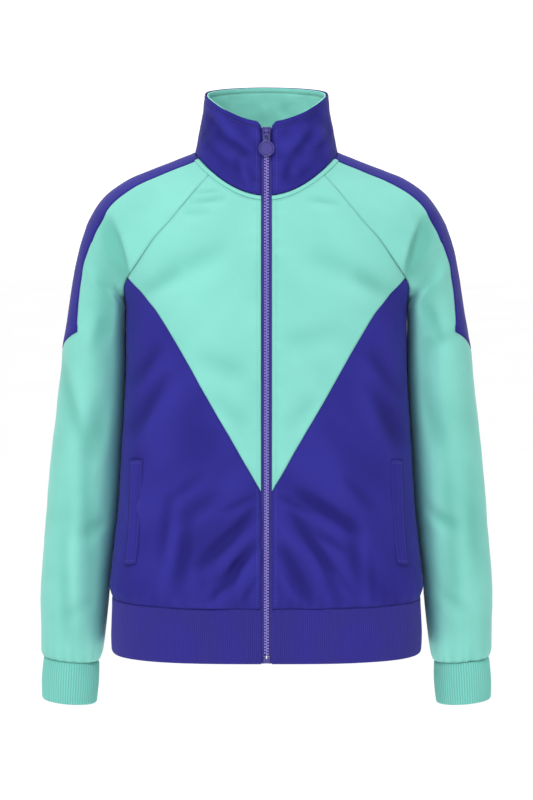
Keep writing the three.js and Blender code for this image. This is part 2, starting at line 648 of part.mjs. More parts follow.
/** The whole back in one panel, its two halves joined at the centre. */
function backSheet(edgeNormals) {
  const patch = backPatch();
  const halves = [1, -1].map((side) => bodySheet(patch, BACK_FOLDS, side));
  halves.forEach((half) => {
    edgeNormals[1].forEach((normal, k) => {
      half.normals[half.id(half.rows - k, half.columns)] = normal.clone();
    });
    half.points.forEach((point, k) => {
      if (k % (half.columns + 1) === 0) point.setX(0);
    });
  });
  const width = 2 * BACK_HALF_COLUMNS + 1;
  const points = [];
  const normals = [];
  const flip = vec(-1, 1, 1);
  for (let i = 0; i <= halves[0].rows; i += 1) {
    for (let j = -BACK_HALF_COLUMNS; j <= BACK_HALF_COLUMNS; j += 1) {
      const half = halves[j >= 0 ? 0 : 1];
      const id = half.id(i, abs(j));
      points.push(j >= 0 ? half.points[id] : half.points[id].clone().multiply(flip));
      normals.push(j >= 0 ? half.normals[id] : half.normals[id].clone().multiply(flip));
    }
  }
  const faces = gridFaces(0, halves[0].rows, 0, width - 1, (i, j) => i * width + j);
  return { points, normals, faces: faces.map(([a, b, c]) => [a, c, b]) };
}

const collarRise = (v) => v + COLLAR.bow * sin(Math.PI * v);

/** The outer face of the collar, v from the neck seam to its top edge. */
function collarPoint(turn, v) {
  const c = cos(turn);
  const neck = neckPoint(turn);
  const depth = c > 0 ? COLLAR.front : COLLAR.back;
  const top = sectionPoint(turn, 0, COLLAR.width, depth, 2);
  const full = c > 0 ? COLLAR.z - COLLAR.frontDrop * c ** 1.8 : COLLAR.z + COLLAR.backRise * sqrt(abs(c));
  const notch = c > 0 ? COLLAR.notch * (1 - ease(COLLAR.notchFrom, COLLAR.notchTo, abs(top.x))) : 0;
  const point = neck.clone().lerp(top, collarRise(v));
  return point.setZ(mix(neck.z + COLLAR.lift, full - notch, v));
}

/** The collar's outer or inner layer, from one side of the zip round to the other. */
function collarSheet(inset, edgeX, dropTop) {
  const columns = 2 * COLLAR_HALF_COLUMNS;
  const points = [];
  for (let i = 0; i <= COLLAR_ROWS; i += 1) {
    const v = i / COLLAR_ROWS;
    const start = Math.asin(edgeX / mix(NECK.front, COLLAR.front, v));
    for (let j = 0; j <= columns; j += 1) {
      const turn = mix(start, 2 * Math.PI - start, j / columns);
      const [here, beside] = [collarPoint(turn, v), collarPoint(turn + 0.01, v)];
      const above = collarPoint(turn, v + 0.02);
      const normal = beside.sub(here).cross(above.sub(here)).normalize();
      points.push(here.addScaledVector(normal, -inset).add(vec(0, 0, -dropTop * v)));
    }
  }
  const faces = gridFaces(0, COLLAR_ROWS, 0, columns, (i, j) => i * (columns + 1) + j);
  return { points, faces, normals: vertexNormals(points, faces) };
}

/** Triangles between two rows of points that run the same way, each with its own step. */
function stitch(first, second) {
  const faces = [];
  let [i, j] = [0, 0];
  while (i < first.length - 1 || j < second.length - 1) {
    const moveFirst = (i + 1) / (first.length - 1) <= (j + 1) / (second.length - 1);
    if (j === second.length - 1 || (moveFirst && i < first.length - 1)) {
      faces.push([first[i], first[i + 1], second[j]]);
      i += 1;
    } else {
      faces.push([first[i], second[j + 1], second[j]]);
      j += 1;
    }
  }
  return faces;
}

/**
 * A rib-knit band: ribs raised on the outer face over a plain inner face. pointAt(t, v, out)
 * gives the band's face moved out, t along the band and v from its top (0) to its bottom (1).
 */
function ribbedBand(name, pointAt, ribs, innerSteps, closed, finish) {
  const points = [];
  const row = (steps, v, outOf) => {
    const ids = [];
    for (let k = 0; k < steps + (closed ? 0 : 1); k += 1) {
      ids.push(points.length);
      points.push(pointAt(k / steps, v, outOf(k)));
    }
    return closed ? [...ids, ids[0]] : ids;
  };
  const ribOut = (k) => (k % 2 ? RIB_RISE : 0);
  const [top, bottom] = [0, 1].map((v) => row(2 * ribs, v, ribOut));
  const [innerTop, innerBottom] = [0, 1].map((v) => row(innerSteps, v, () => -RIB_WALL));
  const faces = [
    ...stitch(bottom, top), ...stitch(innerTop, innerBottom),
    ...stitch(top, innerTop), ...stitch(innerBottom, bottom),
  ];
  if (!closed) {
    for (const [end, order] of [[0, [0, 1, 2, 3]], [-1, [3, 2, 1, 0]]]) {
      const ring = [top, bottom, innerBottom, innerTop].map((ids) => ids.at(end));
      const [a, b, c, d] = order.map((k) => ring[k]);
      faces.push([a, c, b], [a, d, c]);
    }
  }
  return meshOf(name, points, faces, finish);
}

/** Turns that divide a section evenly by length, from one side of the zip round to the other. */
function evenTurns(z) {
  const start = turnAt(ZIP_HALF, z);
  const turns = span(start, 2 * Math.PI - start, 720);
  const lengths = [0];
  for (let k = 1; k < turns.length; k += 1) {
    lengths.push(lengths[k - 1] + bodySection(turns[k], z).distanceTo(bodySection(turns[k - 1], z)));
  }
  const table = turns.map((turn, k) => ({ at: lengths[k] / lengths.at(-1), turn }));
  return { length: lengths.at(-1), turnFor: curveThrough(table, 'at', 'turn') };
}

function hemBand() {
  const { length, turnFor } = evenTurns(HEM_SEAM_Z);
  const top = HEM_SEAM_Z - SEAM_GAP - SEAM_GAP / 2;
  const pointAt = (t, v, out) => {
    const z = mix(top, HEM_BOTTOM_Z, v);
    const edge = turnAt(ZIP_HALF, z);
    const turn = min(max(turnFor(t), edge), 2 * Math.PI - edge);
    const point = bodySection(turn, z);
    const beside = bodySection(turn + 0.01, z).sub(bodySection(turn - 0.01, z));
    const way = vec(beside.y, -beside.x, 0).normalize();
    const atEnd = t === 0 || t === 1;
    return point.addScaledVector(atEnd ? vec(0, -1, 0) : way, out);
  };
  return ribbedBand('hem_band', pointAt, Math.round(length / HEM_RIB_PITCH), 56, false, PURPLE_RIB);
}

function cuffBand(side, name) {
  const lift = arm.lift(CUFF_SEAM_Z);
  const [inner, outer] = [arm.inner(CUFF_SEAM_Z), armOutline(CUFF_SEAM_Z + lift)];
  const tilt = lift / (outer - inner);
  const [half, depth] = [(outer - inner) / 2, arm.depth(CUFF_SEAM_Z)];
  const pointAt = (t, v, out) => {
    const angle = side * 2 * Math.PI * t;
    const grow = 1.2 * sin(Math.PI * v) - 0.6 * v;
    const down = SEAM_GAP + 0.1 + v * (CUFF_LENGTH - SEAM_GAP);
    const across = (half + grow + out) * cos(angle);
    const middle = mix((inner + outer) / 2, (inner + outer) / 2 + 2.6, v);
    const y = arm.y(CUFF_SEAM_Z) - 1.5 * v + (depth + grow + out) * sin(angle);
    return vec(side * (middle + across), y, CUFF_SEAM_Z + lift / 2 + across * tilt - down);
  };
  const girth = Math.PI * (half + depth);
  return ribbedBand(name, pointAt, Math.round(girth / CUFF_RIB_PITCH), 28, true, MINT_RIB);
}

/** A mint strip that lies along the neck seam on the upper front and the sleeve. */
function neckBandSheet(yoke, sleeve) {
  const rim = [];
  const along = (sheet, edge, below) => [sheet.points[edge], sheet.points[below], sheet.normals[edge]];
  for (let j = 0; j <= V_STEPS; j += 1) {
    rim.push(along(yoke, yoke.id(yoke.rows, j), yoke.id(yoke.rows - 1, j)));
  }
  for (let j = 1; j <= SLEEVE_FRONT_COLUMNS; j += 1) {
    rim.push(along(sleeve, sleeve.id(0, j), sleeve.id(1, j)));
  }
  const lift = LAP_GAP + BAND_WALL;
  const rows = [SEAM_GAP * 2, BAND_WIDTH].map((down) => rim.map(([edge, below, normal]) => {
    const way = below.clone().sub(edge).normalize();
    return edge.clone().addScaledVector(way, down).addScaledVector(normal, lift);
  }));
  const points = [...rows[1], ...rows[0]];
  const faces = gridFaces(0, 1, 0, rim.length - 1, (i, j) => i * rim.length + j);
  return { points, faces, normals: vertexNormals(points, faces) };
}

/** A pocket welt, from points of the lower front moved out. */
function weltSheet(side) {
  const corner = ({ x, z }) => [turnAt(x, z), z];
  const [columns, rows] = [3, 7];
  const edge = (from, to, steps) => span(0, 1, steps).map(
    (t) => from.map((value, k) => mix(value, to[k], t)),
  );
  const [topOuter, topInner] = [corner(WELT.topOuter), corner(WELT.topInner)];
  const [bottomOuter, bottomInner] = [corner(WELT.bottomOuter), corner(WELT.bottomInner)];
  const patch = patchBetween(
    edge(bottomInner, bottomOuter, columns), edge(topInner, topOuter, columns),
    edge(bottomInner, topInner, rows), edge(bottomOuter, topOuter, rows),
  );
  const normals = patch.flat().map(([turn, z]) => bodyNormal(turn, z));
  const points = patch.flat().map(([turn, z], k) => {
    const point = bodyPoint(turn, z);
    const rise = LAP_GAP + WELT_WALL + 0.5 - foldDepth(FRONT_FOLDS, side, point.x, point.z);
    return point.addScaledVector(normals[k], rise);
  });
  return { points, normals, faces: gridFaces(0, rows, 0, columns, (i, j) => i * (columns + 1) + j) };
}

/** The outer face of hem, front or collar near the centre line, as its Y. */
function frontSkin(x, z) {
  const neckZ = neckPoint(0).z;
  if (z <= neckZ) return bodyPoint(turnAt(x, z), z).y;
  const v = min((z - neckZ) / (COLLAR.z - COLLAR.frontDrop - neckZ), 1);
  const width = mix(NECK.width, COLLAR.width, collarRise(v));
  const depth = mix(NECK.front, COLLAR.front, collarRise(v));
  return -depth * sqrt(1 - (x / width) ** 2);
}

/** The heights at which the edges along the zip bend, between a bottom and a top. */
function zipHeights(bottom, top) {
  const edgeTurn = Math.asin(ZIP_HALF / COLLAR.front);
  const collarEdge = span(0, 1, COLLAR_ROWS).map((v) => collarPoint(edgeTurn, v).z);
  const bends = [...span(HEM_SEAM_Z, V_SEAM[0].z, 4), ...yokeEdgeHeights.slice(1), ...collarEdge.slice(1)];
  return [bottom, ...bends.filter((z) => z > bottom + 1 && z < top - 1), top];
}

/** A flat bar that follows the front, between two distances from the centre and two depths. */
function frontBar(name, { from, to, front, back, top, bottom }, finish) {
  const points = [];
  const heights = zipHeights(bottom, top);
  const steps = heights.length - 1;
  for (const z of heights) {
    for (const [x, depth] of [[from, front], [to, front], [to, back], [from, back]]) {
      points.push(vec(x, frontSkin(abs(x), z) + depth, z));
    }
  }
  const faces = [[0, 2, 1], [0, 3, 2]];
  for (let i = 0; i < steps; i += 1) {
    for (let k = 0; k < 4; k += 1) {
      const [a, b] = [4 * i + k, 4 * i + ((k + 1) % 4)];
      faces.push([a, b, b + 4], [a, b + 4, a + 4]);
    }
  }
  const last = 4 * steps;
  faces.push([last, last + 1, last + 2], [last, last + 2, last + 3]);
  return meshOf(name, points, faces, finish);
}

const wasm = await Module();
wasm.setup();

/** One closed body from geometries that run into each other, less those that are cut out. */
function joined(name, parts, cuts, finish) {
  const solid = (geometry) => {
    const bare = geometry.index ? geometry.toNonIndexed() : geometry.clone();
    bare.deleteAttribute('normal');
    bare.deleteAttribute('uv');
    const merged = mergeVertices(bare, 1e-4);
    return new wasm.Manifold(new wasm.Mesh({
      numProp: 3,
      vertProperties: new Float32Array(merged.attributes.position.array),
      triVerts: new Uint32Array(merged.index.array),
    }));
  };
  const whole = parts.map(solid).reduce((sum, part) => sum.add(part));
  const cut = cuts.map(solid).reduce((rest, part) => rest.subtract(part), whole);
  const { vertProperties, triVerts } = cut.getMesh();
  const geometry = new THREE.BufferGeometry();
  geometry.setAttribute('position', new THREE.BufferAttribute(new Float32Array(vertProperties), 3));
  geometry.setIndex(new THREE.BufferAttribute(new Uint32Array(triVerts), 1));
  geometry.computeVertexNormals();
  const mesh = new THREE.Mesh(geometry, new THREE.MeshStandardMaterial(finish));
  mesh.name = name;
  return mesh;
}

function roundedPlate(topHalf, bottomHalf, top, bottom, round) {
  const shape = new THREE.Shape();
  shape.moveTo(-bottomHalf + round, bottom);
  shape.lineTo(bottomHalf - round, bottom);
  shape.quadraticCurveTo(bottomHalf, bottom, bottomHalf, bottom + round);
  shape.lineTo(topHalf, top - round);
  shape.quadraticCurveTo(topHalf, top, topHalf - round, top);
  shape.lineTo(-topHalf + round, top);
  shape.quadraticCurveTo(-topHalf, top, -topHalf, top - round);
  shape.lineTo(-bottomHalf, bottom + round);
  shape.quadraticCurveTo(-bottomHalf, bottom, -bottomHalf + round, bottom);
  return shape;
}

/** An outline drawn in X and Z, given its thickness towards -Y from y = 0. */
function extruded(shape, depth) {
  const geometry = new THREE.ExtrudeGeometry(shape, { depth, bevelEnabled: false, curveSegments: 3 });
  return geometry.rotateX(Math.PI / 2);
}

const pivotAt = () => vec(0, frontSkin(0, PIVOT.z) - PIVOT.standOff, PIVOT.z);

function zipSlider() {
  const pivot = pivotAt();
  const skin = frontSkin(0, (SLIDER.top + SLIDER.bottom) / 2);
  const plate = extruded(
    roundedPlate(SLIDER.topHalf, SLIDER.bottomHalf, SLIDER.top, SLIDER.bottom, SLIDER.round),
    SLIDER.back - SLIDER.front,
  ).translate(0, skin + SLIDER.back, 0);
  const earDepth = abs(pivot.y - (skin + SLIDER.front)) + PIVOT.earReach + 0.6;
  const earY = pivot.y - PIVOT.earReach + earDepth / 2;
  const ears = [-1, 1].map((side) => new THREE.BoxGeometry(PIVOT.earTo - PIVOT.earFrom, earDepth, 2.6)
    .translate((side * (PIVOT.earFrom + PIVOT.earTo)) / 2, earY, pivot.z));
  const bar = new THREE.CylinderGeometry(PIVOT.bar, PIVOT.bar, 2 * PIVOT.earFrom + 0.8, 14)
    .rotateZ(Math.PI / 2).translate(0, pivot.y, pivot.z);
  return joined('zip_slider', [plate, ...ears, bar], [], PAINTED_METAL);
}

/** The pull: an eye round the slider's bar, a slotted link and a round disc with a raised rim. */
function zipPull() {
  const ring = (radius, length) => (
    new THREE.CylinderGeometry(radius, radius, length, 18).rotateZ(Math.PI / 2)
  );
  const eye = ring(PULL.eyeOuter, 2 * PULL.eyeHalf);
  const hole = ring(PULL.eyeInner, 4 * PULL.eyeHalf);
  const shift = PULL.linkWall / 2;
  const neck = new THREE.BoxGeometry(2 * PULL.eyeHalf, PULL.linkWall, PULL.neckEnd)
    .translate(0, 0, -PULL.neckEnd / 2 - 1.3);
  const link = extruded(
    roundedPlate(PULL.linkHalf, PULL.linkHalf, -PULL.neckEnd, -PULL.linkEnd, 1.6), PULL.linkWall,
  ).translate(0, shift, 0);
  const slot = extruded(
    roundedPlate(PULL.slotHalf, PULL.slotHalf, -PULL.slotTop, -PULL.slotBottom, 1), 3 * PULL.linkWall,
  ).translate(0, 1.5 * PULL.linkWall, 0);
  const [half, inside] = [PULL.discWall / 2, PULL.discRadius - PULL.rim];
  const profile = [
    [0, -half], [PULL.discRadius, -half], [PULL.discRadius, half + PULL.rimRise],
    [inside, half + PULL.rimRise], [inside, half], [0, half],
  ].map(([r, y]) => new THREE.Vector2(r, y));
  const disc = new THREE.LatheGeometry(profile, 26).rotateX(Math.PI).translate(0, 0, -PULL.discAt);
  const pull = joined('zip_pull', [eye, neck, link, disc], [hole, slot], PAINTED_METAL);
  pull.rotation.x = THREE.MathUtils.degToRad(-PULL.tilt);
  pull.position.copy(pivotAt());
  return pull;
}

const jacket = new THREE.Group();
const sleeves = [1, -1].map((side) => sleeveSheet(side));
const edgeNormals = sleeves.map((sleeve) => fitArmhole(sleeve));

[['left', 1], ['right', -1]].forEach(([word, side], k) => {
  const [sleeve, [frontEdge]] = [sleeves[k], edgeNormals[k]];
  const yoke = bodySheet(yokePatch(), FRONT_FOLDS, side);
  const lower = bodySheet(lowerPatch(), FRONT_FOLDS, side);
  for (let i = 0; i <= RAGLAN_STEPS; i += 1) {
    yoke.normals[yoke.id(yoke.rows - i, yoke.columns)] = frontEdge[i].clone();
  }
  for (let i = 0; i <= UNDERARM_STEPS; i += 1) {
    lower.normals[lower.id(lower.rows, V_STEPS + i)] = frontEdge[RAGLAN_STEPS + i].clone();
  }
  const place = (name, sheet, finish, how) => jacket.add(
    clothWall(`${name}_${word}`, onSide(side, sheet), finish, how),
  );
  place('front_yoke', yoke, MINT);
  place('front_lower', lower, PURPLE);
  place('sleeve', { ...sleeve, faces: sleeve.mintFaces }, MINT);
  place('shoulder_stripe', { ...sleeve, faces: sleeve.stripeFaces }, PURPLE);
  place('neck_band', neckBandSheet(yoke, sleeve), MINT, { wall: BAND_WALL });
  place('pocket_welt', weltSheet(side), PURPLE, { wall: WELT_WALL, gap: 0 });
  jacket.add(cuffBand(side, `cuff_${word}`));
  const tape = {
    front: TAPE.setBack, back: TAPE.setBack + TAPE.wall, top: TAPE.top, bottom: HEM_BOTTOM_Z + 0.5,
  };
  const [from, to] = side > 0 ? [TAPE.from, TAPE.to] : [-TAPE.to, -TAPE.from];
  jacket.add(frontBar(`zip_tape_${word}`, { ...tape, from, to }, TAPE_WEAVE));
});

jacket.add(clothWall('back', backSheet(edgeNormals[0]), PURPLE));
jacket.add(clothWall('collar_outer', collarSheet(0, ZIP_HALF, 0), PURPLE, { gap: 0 }));
jacket.add(clothWall('collar_inner', collarSheet(WALL + 2 * LAP_GAP, TAPE.to + 0.8, 0.4), MINT, { gap: 0 }));
jacket.add(hemBand());
jacket.add(frontBar('zip_chain', {
  from: -CHAIN.half, to: CHAIN.half, front: CHAIN.front, back: CHAIN.back,
  top: CHAIN.top, bottom: CHAIN.bottom,
}, TEETH));
jacket.add(frontBar('zip_stop', {
  from: -STOP.half, to: STOP.half, front: STOP.front, back: STOP.back,
  top: STOP.top, bottom: STOP.bottom,
}, PAINTED_METAL));
jacket.add(zipSlider());
jacket.add(zipPull());

export default jacket;
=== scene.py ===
"""Looks of a zip-front track jacket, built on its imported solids.

Forms are worked out in millimetres and written to the meshes in metres, in the frame of
the solids: +Z up, the front faces -Y, and the wearer's left is at +X. A turn is the angle
round the body from the front centre.
"""

import bisect
import copy
import logging
import math
from dataclasses import dataclass, field
from enum import Enum
from typing import Callable, Iterable, Sequence

import bmesh
import bpy
from mathutils import Matrix, Vector, noise
from mathutils.bvhtree import BVHTree


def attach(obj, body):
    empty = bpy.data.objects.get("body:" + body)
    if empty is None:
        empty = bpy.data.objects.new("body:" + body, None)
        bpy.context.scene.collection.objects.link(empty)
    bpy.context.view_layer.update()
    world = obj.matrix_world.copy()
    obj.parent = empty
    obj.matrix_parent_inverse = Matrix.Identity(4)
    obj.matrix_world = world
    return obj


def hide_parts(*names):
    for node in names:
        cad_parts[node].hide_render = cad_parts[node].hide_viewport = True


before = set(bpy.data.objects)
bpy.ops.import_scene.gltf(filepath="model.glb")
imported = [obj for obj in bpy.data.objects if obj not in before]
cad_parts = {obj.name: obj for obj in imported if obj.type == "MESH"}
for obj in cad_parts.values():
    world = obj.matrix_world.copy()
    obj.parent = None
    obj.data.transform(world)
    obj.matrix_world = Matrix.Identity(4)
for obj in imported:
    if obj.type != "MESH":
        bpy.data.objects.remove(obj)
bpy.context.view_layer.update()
LOG = logging.getLogger("jacket")

MM = 0.001
SIDE_TURN = math.pi / 2
BACK_TURN = math.pi
ZIP_HALF = 6.2
GIRTH = 140.0
HEM_SEAM_Z = -510.0
HEM_BOTTOM_Z = -574.0
UNDERARM_Z = -172.0
CUFF_SEAM_Z = -593.5
WALL = 1.2
WELD = 0.001
# the armhole's steps along the raglan seam and under the arm, and those of the side seam
SEAM_STEPS = 10
ARMHOLE_STEPS = 13
SIDE_STEPS = 12
# columns of half a sleeve
HALF = 10

Station = tuple[float, float]
PointAt = Callable[[float, float], Vector]
Edge = Callable[[float], Station]
Stations = Callable[[float, float], Station]


class Place(Enum):
    """Which side of the body a piece is on."""

    LEFT = 1
    RIGHT = -1

    @property
    def word(self) -> str:
        """The side as it stands in piece names."""
        return self.name.lower()


class Hold(Enum):
    """How a cloth is held in the worn form."""

    HUNG = "hung"
    STRETCHED = "stretched"
    FOLDED = "folded"


def mix(low: float, high: float, share: float) -> float:
    """The value a share of the way from low to high."""
    return low + (high - low) * share


def ease(low: float, high: float, value: float) -> float:
    """A smooth step from 0 at low to 1 at high."""
    share = min(max((value - low) / (high - low), 0.0), 1.0)
    return share * share * (3 - 2 * share)


def bell(off: float, width: float) -> float:
    """1 in the middle of a soft hump and near 0 past twice its width."""
    return math.exp(-((off / width) ** 2))


class SmoothCurve:
    """A smooth curve through pairs of numbers that doesn't overshoot."""

    def __init__(self, pairs: Iterable[tuple[float, float]]) -> None:
        """Sorts the pairs and works out a slope at each.

        Args:
            pairs: key and value of each station, in any order.
        """
        rows = sorted(pairs)
        self.keys = [key for key, _ in rows]
        self.values = [value for _, value in rows]
        steps = [
            (self.values[i + 1] - self.values[i]) / (self.keys[i + 1] - self.keys[i])
            for i in range(len(rows) - 1)
        ]
        self.slopes = [steps[0]]
        for before, after in zip(steps, steps[1:]):
            turns = before * after <= 0
            self.slopes.append(0.0 if turns else 2 * before * after / (before + after))
        self.slopes.append(steps[-1])

    def __call__(self, key: float) -> float:
        """The curve's value at a key, held at its ends."""
        read = min(max(key, self.keys[0]), self.keys[-1])
        i = min(max(bisect.bisect_right(self.keys, read) - 1, 0), len(self.keys) - 2)
        step = self.keys[i + 1] - self.keys[i]
        t = (read - self.keys[i]) / step
        t2, t3 = t * t, t * t * t
        return (
            (2 * t3 - 3 * t2 + 1) * self.values[i]
            + (t3 - 2 * t2 + t) * step * self.slopes[i]
            + (3 * t2 - 2 * t3) * self.values[i + 1]
            + (t3 - t2) * step * self.slopes[i + 1]
        )


class Path:
    """A polyline that is read by its share of the whole length."""

    def __init__(self, points: Sequence[Vector]) -> None:
        """Adds up the lengths between the points."""
        self.points = list(points)
        self.at = [0.0]
        for first, second in zip(self.points, self.points[1:]):
            self.at.append(self.at[-1] + (second - first).length)

    @property
    def length(self) -> float:
        """The whole length."""
        return self.at[-1]

    def read(self, share: float) -> Vector:
        """The point a share of the way along."""
        goal = min(max(share, 0.0), 1.0) * self.length
        i = min(max(bisect.bisect_right(self.at, goal) - 1, 0), len(self.points) - 2)
        step = self.at[i + 1] - self.at[i]
        return self.points[i].lerp(self.points[i + 1], (goal - self.at[i]) / max(step, 1e-9))


def spline(stations: Sequence[Vector], fine: int = 24) -> Path:
    """A centripetal spline through stations, as a fine polyline.

    Args:
        stations: the points that the curve passes.
        fine: steps between two stations.

    Returns:
        The path, read by share of its length.
    """
    ends = [stations[0] * 2 - stations[1], *stations, stations[-1] * 2 - stations[-2]]
    points = [stations[0].copy()]
    for a, b, c, d in zip(ends, ends[1:], ends[2:], ends[3:]):
        spans = [max((q - p).length ** 0.5, 1e-6) for p, q in ((a, b), (b, c), (c, d))]
        out = (b - a) / spans[0] - (c - a) / (spans[0] + spans[1]) + (c - b) / spans[1]
        into = (c - b) / spans[1] - (d - b) / (spans[1] + spans[2]) + (d - c) / spans[2]
        out, into = out * spans[1], into * spans[1]
        for k in range(1, fine + 1):
            t = k / fine
            t2, t3 = t * t, t * t * t
            points.append(
                b * (2 * t3 - 3 * t2 + 1) + out * (t3 - 2 * t2 + t)
                + c * (3 * t2 - 2 * t3) + into * (t3 - t2)
            )
    return Path(points)


def table_curve(rows: Iterable[Sequence[float]], place: int) -> SmoothCurve:
    """The curve through one column of a table, read by the first."""
    return SmoothCurve((row[0], row[place]) for row in rows)


def bezier(start: Vector, out: Vector, into: Vector, end: Vector) -> Path:
    """A cubic arc as a fine polyline."""
    points = []
    for k in range(73):
        t = k / 72
        s = 1 - t
        points.append(
            start * s ** 3 + out * (3 * s * s * t) + into * (3 * s * t * t) + end * t ** 3
        )
    return Path(points)


@dataclass
class BodyForm:
    """The filled-out body, its neck seam and the seams that lie on it."""

    # height, half width, depth in front, depth behind, squareness
    sections: tuple[tuple[float, ...], ...] = (
        (-574, 181.5, 114, 105, 3.0), (-558, 182.3, 114.5, 105.5, 3.0),
        (-510, 180.6, 113.5, 104.5, 3.0), (-498, 184, 116, 106.5, 2.9),
        (-473, 181.2, 116, 103, 2.7), (-435, 177, 116, 100.5, 2.6),
        (-398, 173, 117, 99, 2.6), (-342, 169.8, 118, 98, 2.6),
        (-285, 166, 119, 100, 2.6), (-230, 163.6, 119.5, 103, 2.6),
        (-172, 163.8, 117, 106, 2.6), (-155, 166.5, 115, 106.5, 2.65),
        (-138, 172, 113, 107, 2.7), (-110, 180, 109, 105, 2.7),
        (-85, 180, 103, 101, 2.6), (-58, 166, 93, 95, 2.5),
        (-35, 142, 79.5, 86, 2.4), (-6, 98, 62, 73, 2.3),
        (8, 84, 60, 68, 2.2), (22, 74, 55, 61, 2.1),
    )
    neck_width: float = 83.0
    neck_front: float = 80.0
    neck_back: float = 62.0
    neck_z: float = 8.0
    neck_drop: float = 45.0
    neck_rise: float = 12.0
    neck_blend: float = 50.0
    front_neck_turn: float = math.radians(51)
    back_neck_turn: float = math.radians(130)
    stripe_neck_turn: float = math.radians(70)
    v_stations: tuple[Station, ...] = (
        (ZIP_HALF, -373), (22, -346), (64, -273), (100, -210), (124, -172), (142, -151),
        (159.7, -133),
    )
    front_raglan: tuple[Station, ...] = (
        (104.5, -58), (130.5, -88), (148, -114), (159.7, -133),
    )
    back_raglan: tuple[Station, ...] = ((92, -38), (122, -82), (146, -118), (159, -146))
    v_seam: Path = field(init=False)
    raglan: Path = field(init=False)
    raglan_behind: Path = field(init=False)

    def __post_init__(self) -> None:
        """Makes the section curves and the seams."""
        names = ("width", "front", "back", "square")
        self.curves = {name: table_curve(self.sections, k + 1) for k, name in enumerate(names)}
        neck = [(turn, self.neck(turn).z) for turn in (self.front_neck_turn, self.back_neck_turn)]
        front = [(self.turn_at(x, z), z) for x, z in self.front_raglan]
        behind = [(self.turn_at(x, z, True), z) for x, z in self.back_raglan]
        self.v_seam = self.seam([(self.turn_at(x, z), z) for x, z in self.v_stations])
        self.raglan = self.seam([neck[0], *front])
        self.raglan_behind = self.seam([neck[1], *behind, (SIDE_TURN, UNDERARM_Z)])

    @staticmethod
    def seam(stations: Sequence[Station]) -> Path:
        """A seam through stations of turn and height."""
        return spline([Vector((turn * GIRTH, z, 0)) for turn, z in stations])

    @staticmethod
    def station(path: Path, share: float) -> Station:
        """Turn and height a share of the way along a seam."""
        point = path.read(share)
        return point.x / GIRTH, point.y

    @staticmethod
    def oval(turn: float, z: float, width: float, depth: float, square: float) -> Vector:
        """A point of a rounded section at one turn."""
        s, c = math.sin(turn), math.cos(turn)
        radius = ((abs(s) / width) ** square + (abs(c) / depth) ** square) ** (-1 / square)
        return Vector((radius * s, -radius * c, z))

    def section(self, turn: float, z: float) -> Vector:
        """A point of the body's own section."""
        depth = self.curves["front" if math.cos(turn) > 0 else "back"](z)
        return self.oval(turn, z, self.curves["width"](z), depth, self.curves["square"](z))

    def neck(self, turn: float) -> Vector:
        """A point of the neck seam."""
        c = math.cos(turn)
        if c > 0:
            z = self.neck_z - self.neck_drop * c ** 1.9
            return self.oval(turn, z, self.neck_width, self.neck_front, 2)
        z = self.neck_z + self.neck_rise * abs(c) ** 1.5
        return self.oval(turn, z, self.neck_width, self.neck_back, 2)

    def point(self, turn: float, z: float) -> Vector:
        """A point of the body form, which runs into the neck seam at its top."""
        neck = self.neck(turn)
        share = ease(neck.z - self.neck_blend, neck.z, z)
        here = self.section(turn, z)
        if share > 0:
            pull = neck - self.section(turn, neck.z)
            here += Vector((pull.x, pull.y, 0)) * share
        return here

    def normal(self, turn: float, z: float) -> Vector:
        """The outward direction of the body form."""
        across = self.point(turn + 0.004, z) - self.point(turn - 0.004, z)
        return across.cross(self.point(turn, z + 0.5) - self.point(turn, z - 0.5)).normalized()

    def turn_at(self, x: float, z: float, behind: bool = False) -> float:
        """The turn at which the front or back of the body is x from the centre."""
        depth = self.curves["back" if behind else "front"](z)
        square = self.curves["square"](z)
        rest = max(1 - (x / self.curves["width"](z)) ** square, 1e-9)
        turn = math.atan2(x, depth * rest ** (1 / square))
        return BACK_TURN - turn if behind else turn

    def front_armhole(self, row: float) -> Station:
        """The armhole in front: the raglan seam, then the part under the arm."""
        if row <= SEAM_STEPS:
            return self.station(self.raglan, row / SEAM_STEPS)
        apex = self.station(self.raglan, 1)
        share = (row - SEAM_STEPS) / (ARMHOLE_STEPS - SEAM_STEPS)
        return mix(apex[0], SIDE_TURN, share), mix(apex[1], UNDERARM_Z, share)

    def back_armhole(self, row: float) -> Station:
        """The armhole behind."""
        return self.station(self.raglan_behind, row / ARMHOLE_STEPS)


FORM = BodyForm()


@dataclass(frozen=True)
class Fold:
    """A soft trough in the cloth, seen from the front or from behind.

    side is +1 or -1 for one side and 0 for both, lip the height of the ridge beside the
    trough as a share of its depth, on the side that a positive lip names.
    """

    side: int
    start: Station
    end: Station
    width: float
    depth: float
    lip: float = 0.45

    def at(self, side: int, x: float, z: float) -> float:
        """How deep the fold is at a place, less than nothing on its ridge.

        Args:
            side: +1 or -1, the side that the place is on.
            x: distance from the middle plane in mm.
            z: height in mm.

        Returns:
            The depth in mm.
        """
        if self.side not in (0, side):
            return 0.0
        dx, dz = self.end[0] - self.start[0], self.end[1] - self.start[1]
        size = math.hypot(dx, dz)
        along = ((x - self.start[0]) * dx + (z - self.start[1]) * dz) / size ** 2
        off = ((x - self.start[0]) * dz - (z - self.start[1]) * dx) / size / self.width
        if not 0 < along < 1 or abs(off) > 4:
            return 0.0
        ridge = self.lip * bell(off - math.copysign(1.7, self.lip), 1.1)
        swell = math.sin(math.pi * along) ** 0.8
        return self.depth * swell * (math.exp(-off * off) - abs(ridge))


def fold_depth(folds: Iterable[Fold], side: int, x: float, z: float) -> float:
    """The depth of all the folds at one place."""
    return sum(fold.at(side, x, z) for fold in folds)


